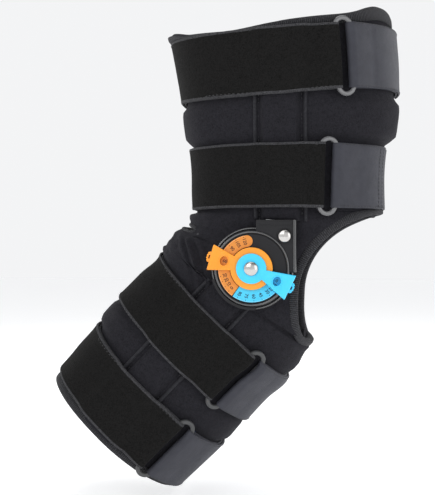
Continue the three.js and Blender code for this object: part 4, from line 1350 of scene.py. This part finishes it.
def puffed(piece):
    """Inflates a closed cover a little, with the cloth simulation's result kept in its mesh."""
    remesh = piece.modifiers.new("even", "REMESH")
    remesh.mode = "VOXEL"
    remesh.voxel_size = PUFF_CELL
    baked(piece)
    before = vertex_places(piece.data)
    cloth = piece.modifiers.new("cloth", "CLOTH")
    cloth.settings.use_pressure = True
    cloth.settings.uniform_pressure_force = PUFF_PRESSURE
    cloth.settings.effector_weights.gravity = 0
    cloth.settings.quality = 6
    scene = bpy.context.scene
    for step in range(PUFF_STEPS):
        scene.frame_set(step + 1)
    baked(piece)
    scene.frame_set(1)
    move = vertex_places(piece.data) - before
    far = np.linalg.norm(move, axis=1, keepdims=True)
    move *= np.minimum(1, PUFF_LIMIT / np.maximum(far, 1e-9))
    piece.data.vertices.foreach_set("co", (before + move).ravel())
    piece.data.polygons.foreach_set("use_smooth", [True] * len(piece.data.polygons))


def finish_cad_nodes():
    """The hard pieces that stay as they are take their metal or plastic."""
    looks = {"bar_": ALUMINIUM, "backing": BLACK, "spring": SPRING}
    for name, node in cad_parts.items():
        for word, look in looks.items():
            if word in name:
                node.data.materials.clear()
                node.data.materials.append(look)


# ---------------------------------------------------------------- studio


def studio():
    """A pale world, darker overhead, with soft lights round the brace and a pale floor."""
    world = bpy.data.worlds.new("studio")
    world.use_nodes = True
    nodes, links = world.node_tree.nodes, world.node_tree.links
    background = nodes["Background"].inputs
    place = nodes.new("ShaderNodeTexCoord")
    split = nodes.new("ShaderNodeSeparateXYZ")
    height = nodes.new("ShaderNodeMath")
    height.operation = "ABSOLUTE"
    fall = nodes.new("ShaderNodeMapRange")
    fall.interpolation_type = "SMOOTHSTEP"
    for key, value in {"From Min": 0.3, "From Max": 0.85, "To Min": 1.0, "To Max": 0.25}.items():
        fall.inputs[key].default_value = value
    links.new(place.outputs["Generated"], split.inputs[0])
    links.new(split.outputs["Z"], height.inputs[0])
    links.new(height.outputs[0], fall.inputs["Value"])
    links.new(fall.outputs["Result"], background["Strength"])
    background["Color"].default_value = (*PALE, 1)
    scene = bpy.context.scene
    scene.world = world
    scene.view_settings.view_transform = "Standard"
    # Name, place and size in m, and power in W.
    lights = [("key", (-0.75, -1.5, 1.1), 1.3, 9), ("fill", (1.3, -1.2, 0.35), 1.2, 5),
              ("top", (0.0, 0.1, 1.7), 1.4, 10), ("back_left", (-1.3, 0.9, 0.5), 1.0, 6),
              ("back_right", (1.3, 0.9, 0.6), 1.0, 6)]
    for name, place, size, power in lights:
        data = bpy.data.lights.new(name, "AREA")
        data.size = size
        data.energy = power
        aimed(in_scene(name, data), Vector(place), Vector())
    make_floor()


def aimed(piece, place, target):
    piece.location = place
    piece.rotation_euler = (target - place).to_track_quat("-Z", "Y").to_euler()


def make_floor():
    shader = Shader("floor", 0.7)
    shader.color(shader.mix(shader.noise(300, 3), (0.88, 0.885, 0.89), (0.92, 0.922, 0.925)))
    shader.glow(PALE, 0.5)
    half, level = 6000, cad_box[0].z / MM - 4
    corners = [(-half, -half, level), (half, -half, level), (half, half, level), (-half, half, level)]
    floor = add_mesh("floor", corners, [(0, 1, 2, 3)], shader.material, smooth_shaded=False, welded=False)


def make_camera():
    """Level with the knee and a little towards its front."""
    data = bpy.data.cameras.new("camera")
    data.lens = 80
    data.sensor_width = 36
    distance, azimuth = 0.9, math.radians(7)
    target = Vector((-0.0347, -0.0043, 0.0158))
    camera = in_scene("camera", data)
    aimed(camera, target + Vector((math.sin(azimuth), -math.cos(azimuth), 0)) * distance, target)
    bpy.context.scene.camera = camera


# ---------------------------------------------------------------- the brace

make_camera()
studio()
make_wrap()
make_bindings()
for side_name in SIDES:
    make_pocket("thigh", side_name)
    make_pocket("calf", side_name)
    make_lower_cover(side_name)
    make_upper_cover(side_name)
    for kind in ("flexion", "extension"):
        make_scale(kind, side_name)
    for kind in ("flexion", "extension"):
        make_stop(kind, side_name)
    make_rivets(side_name)
    make_pad(side_name)
for strap_name in STRAP_MIDDLES:
    make_strap_set(strap_name)
finish_cad_nodes()
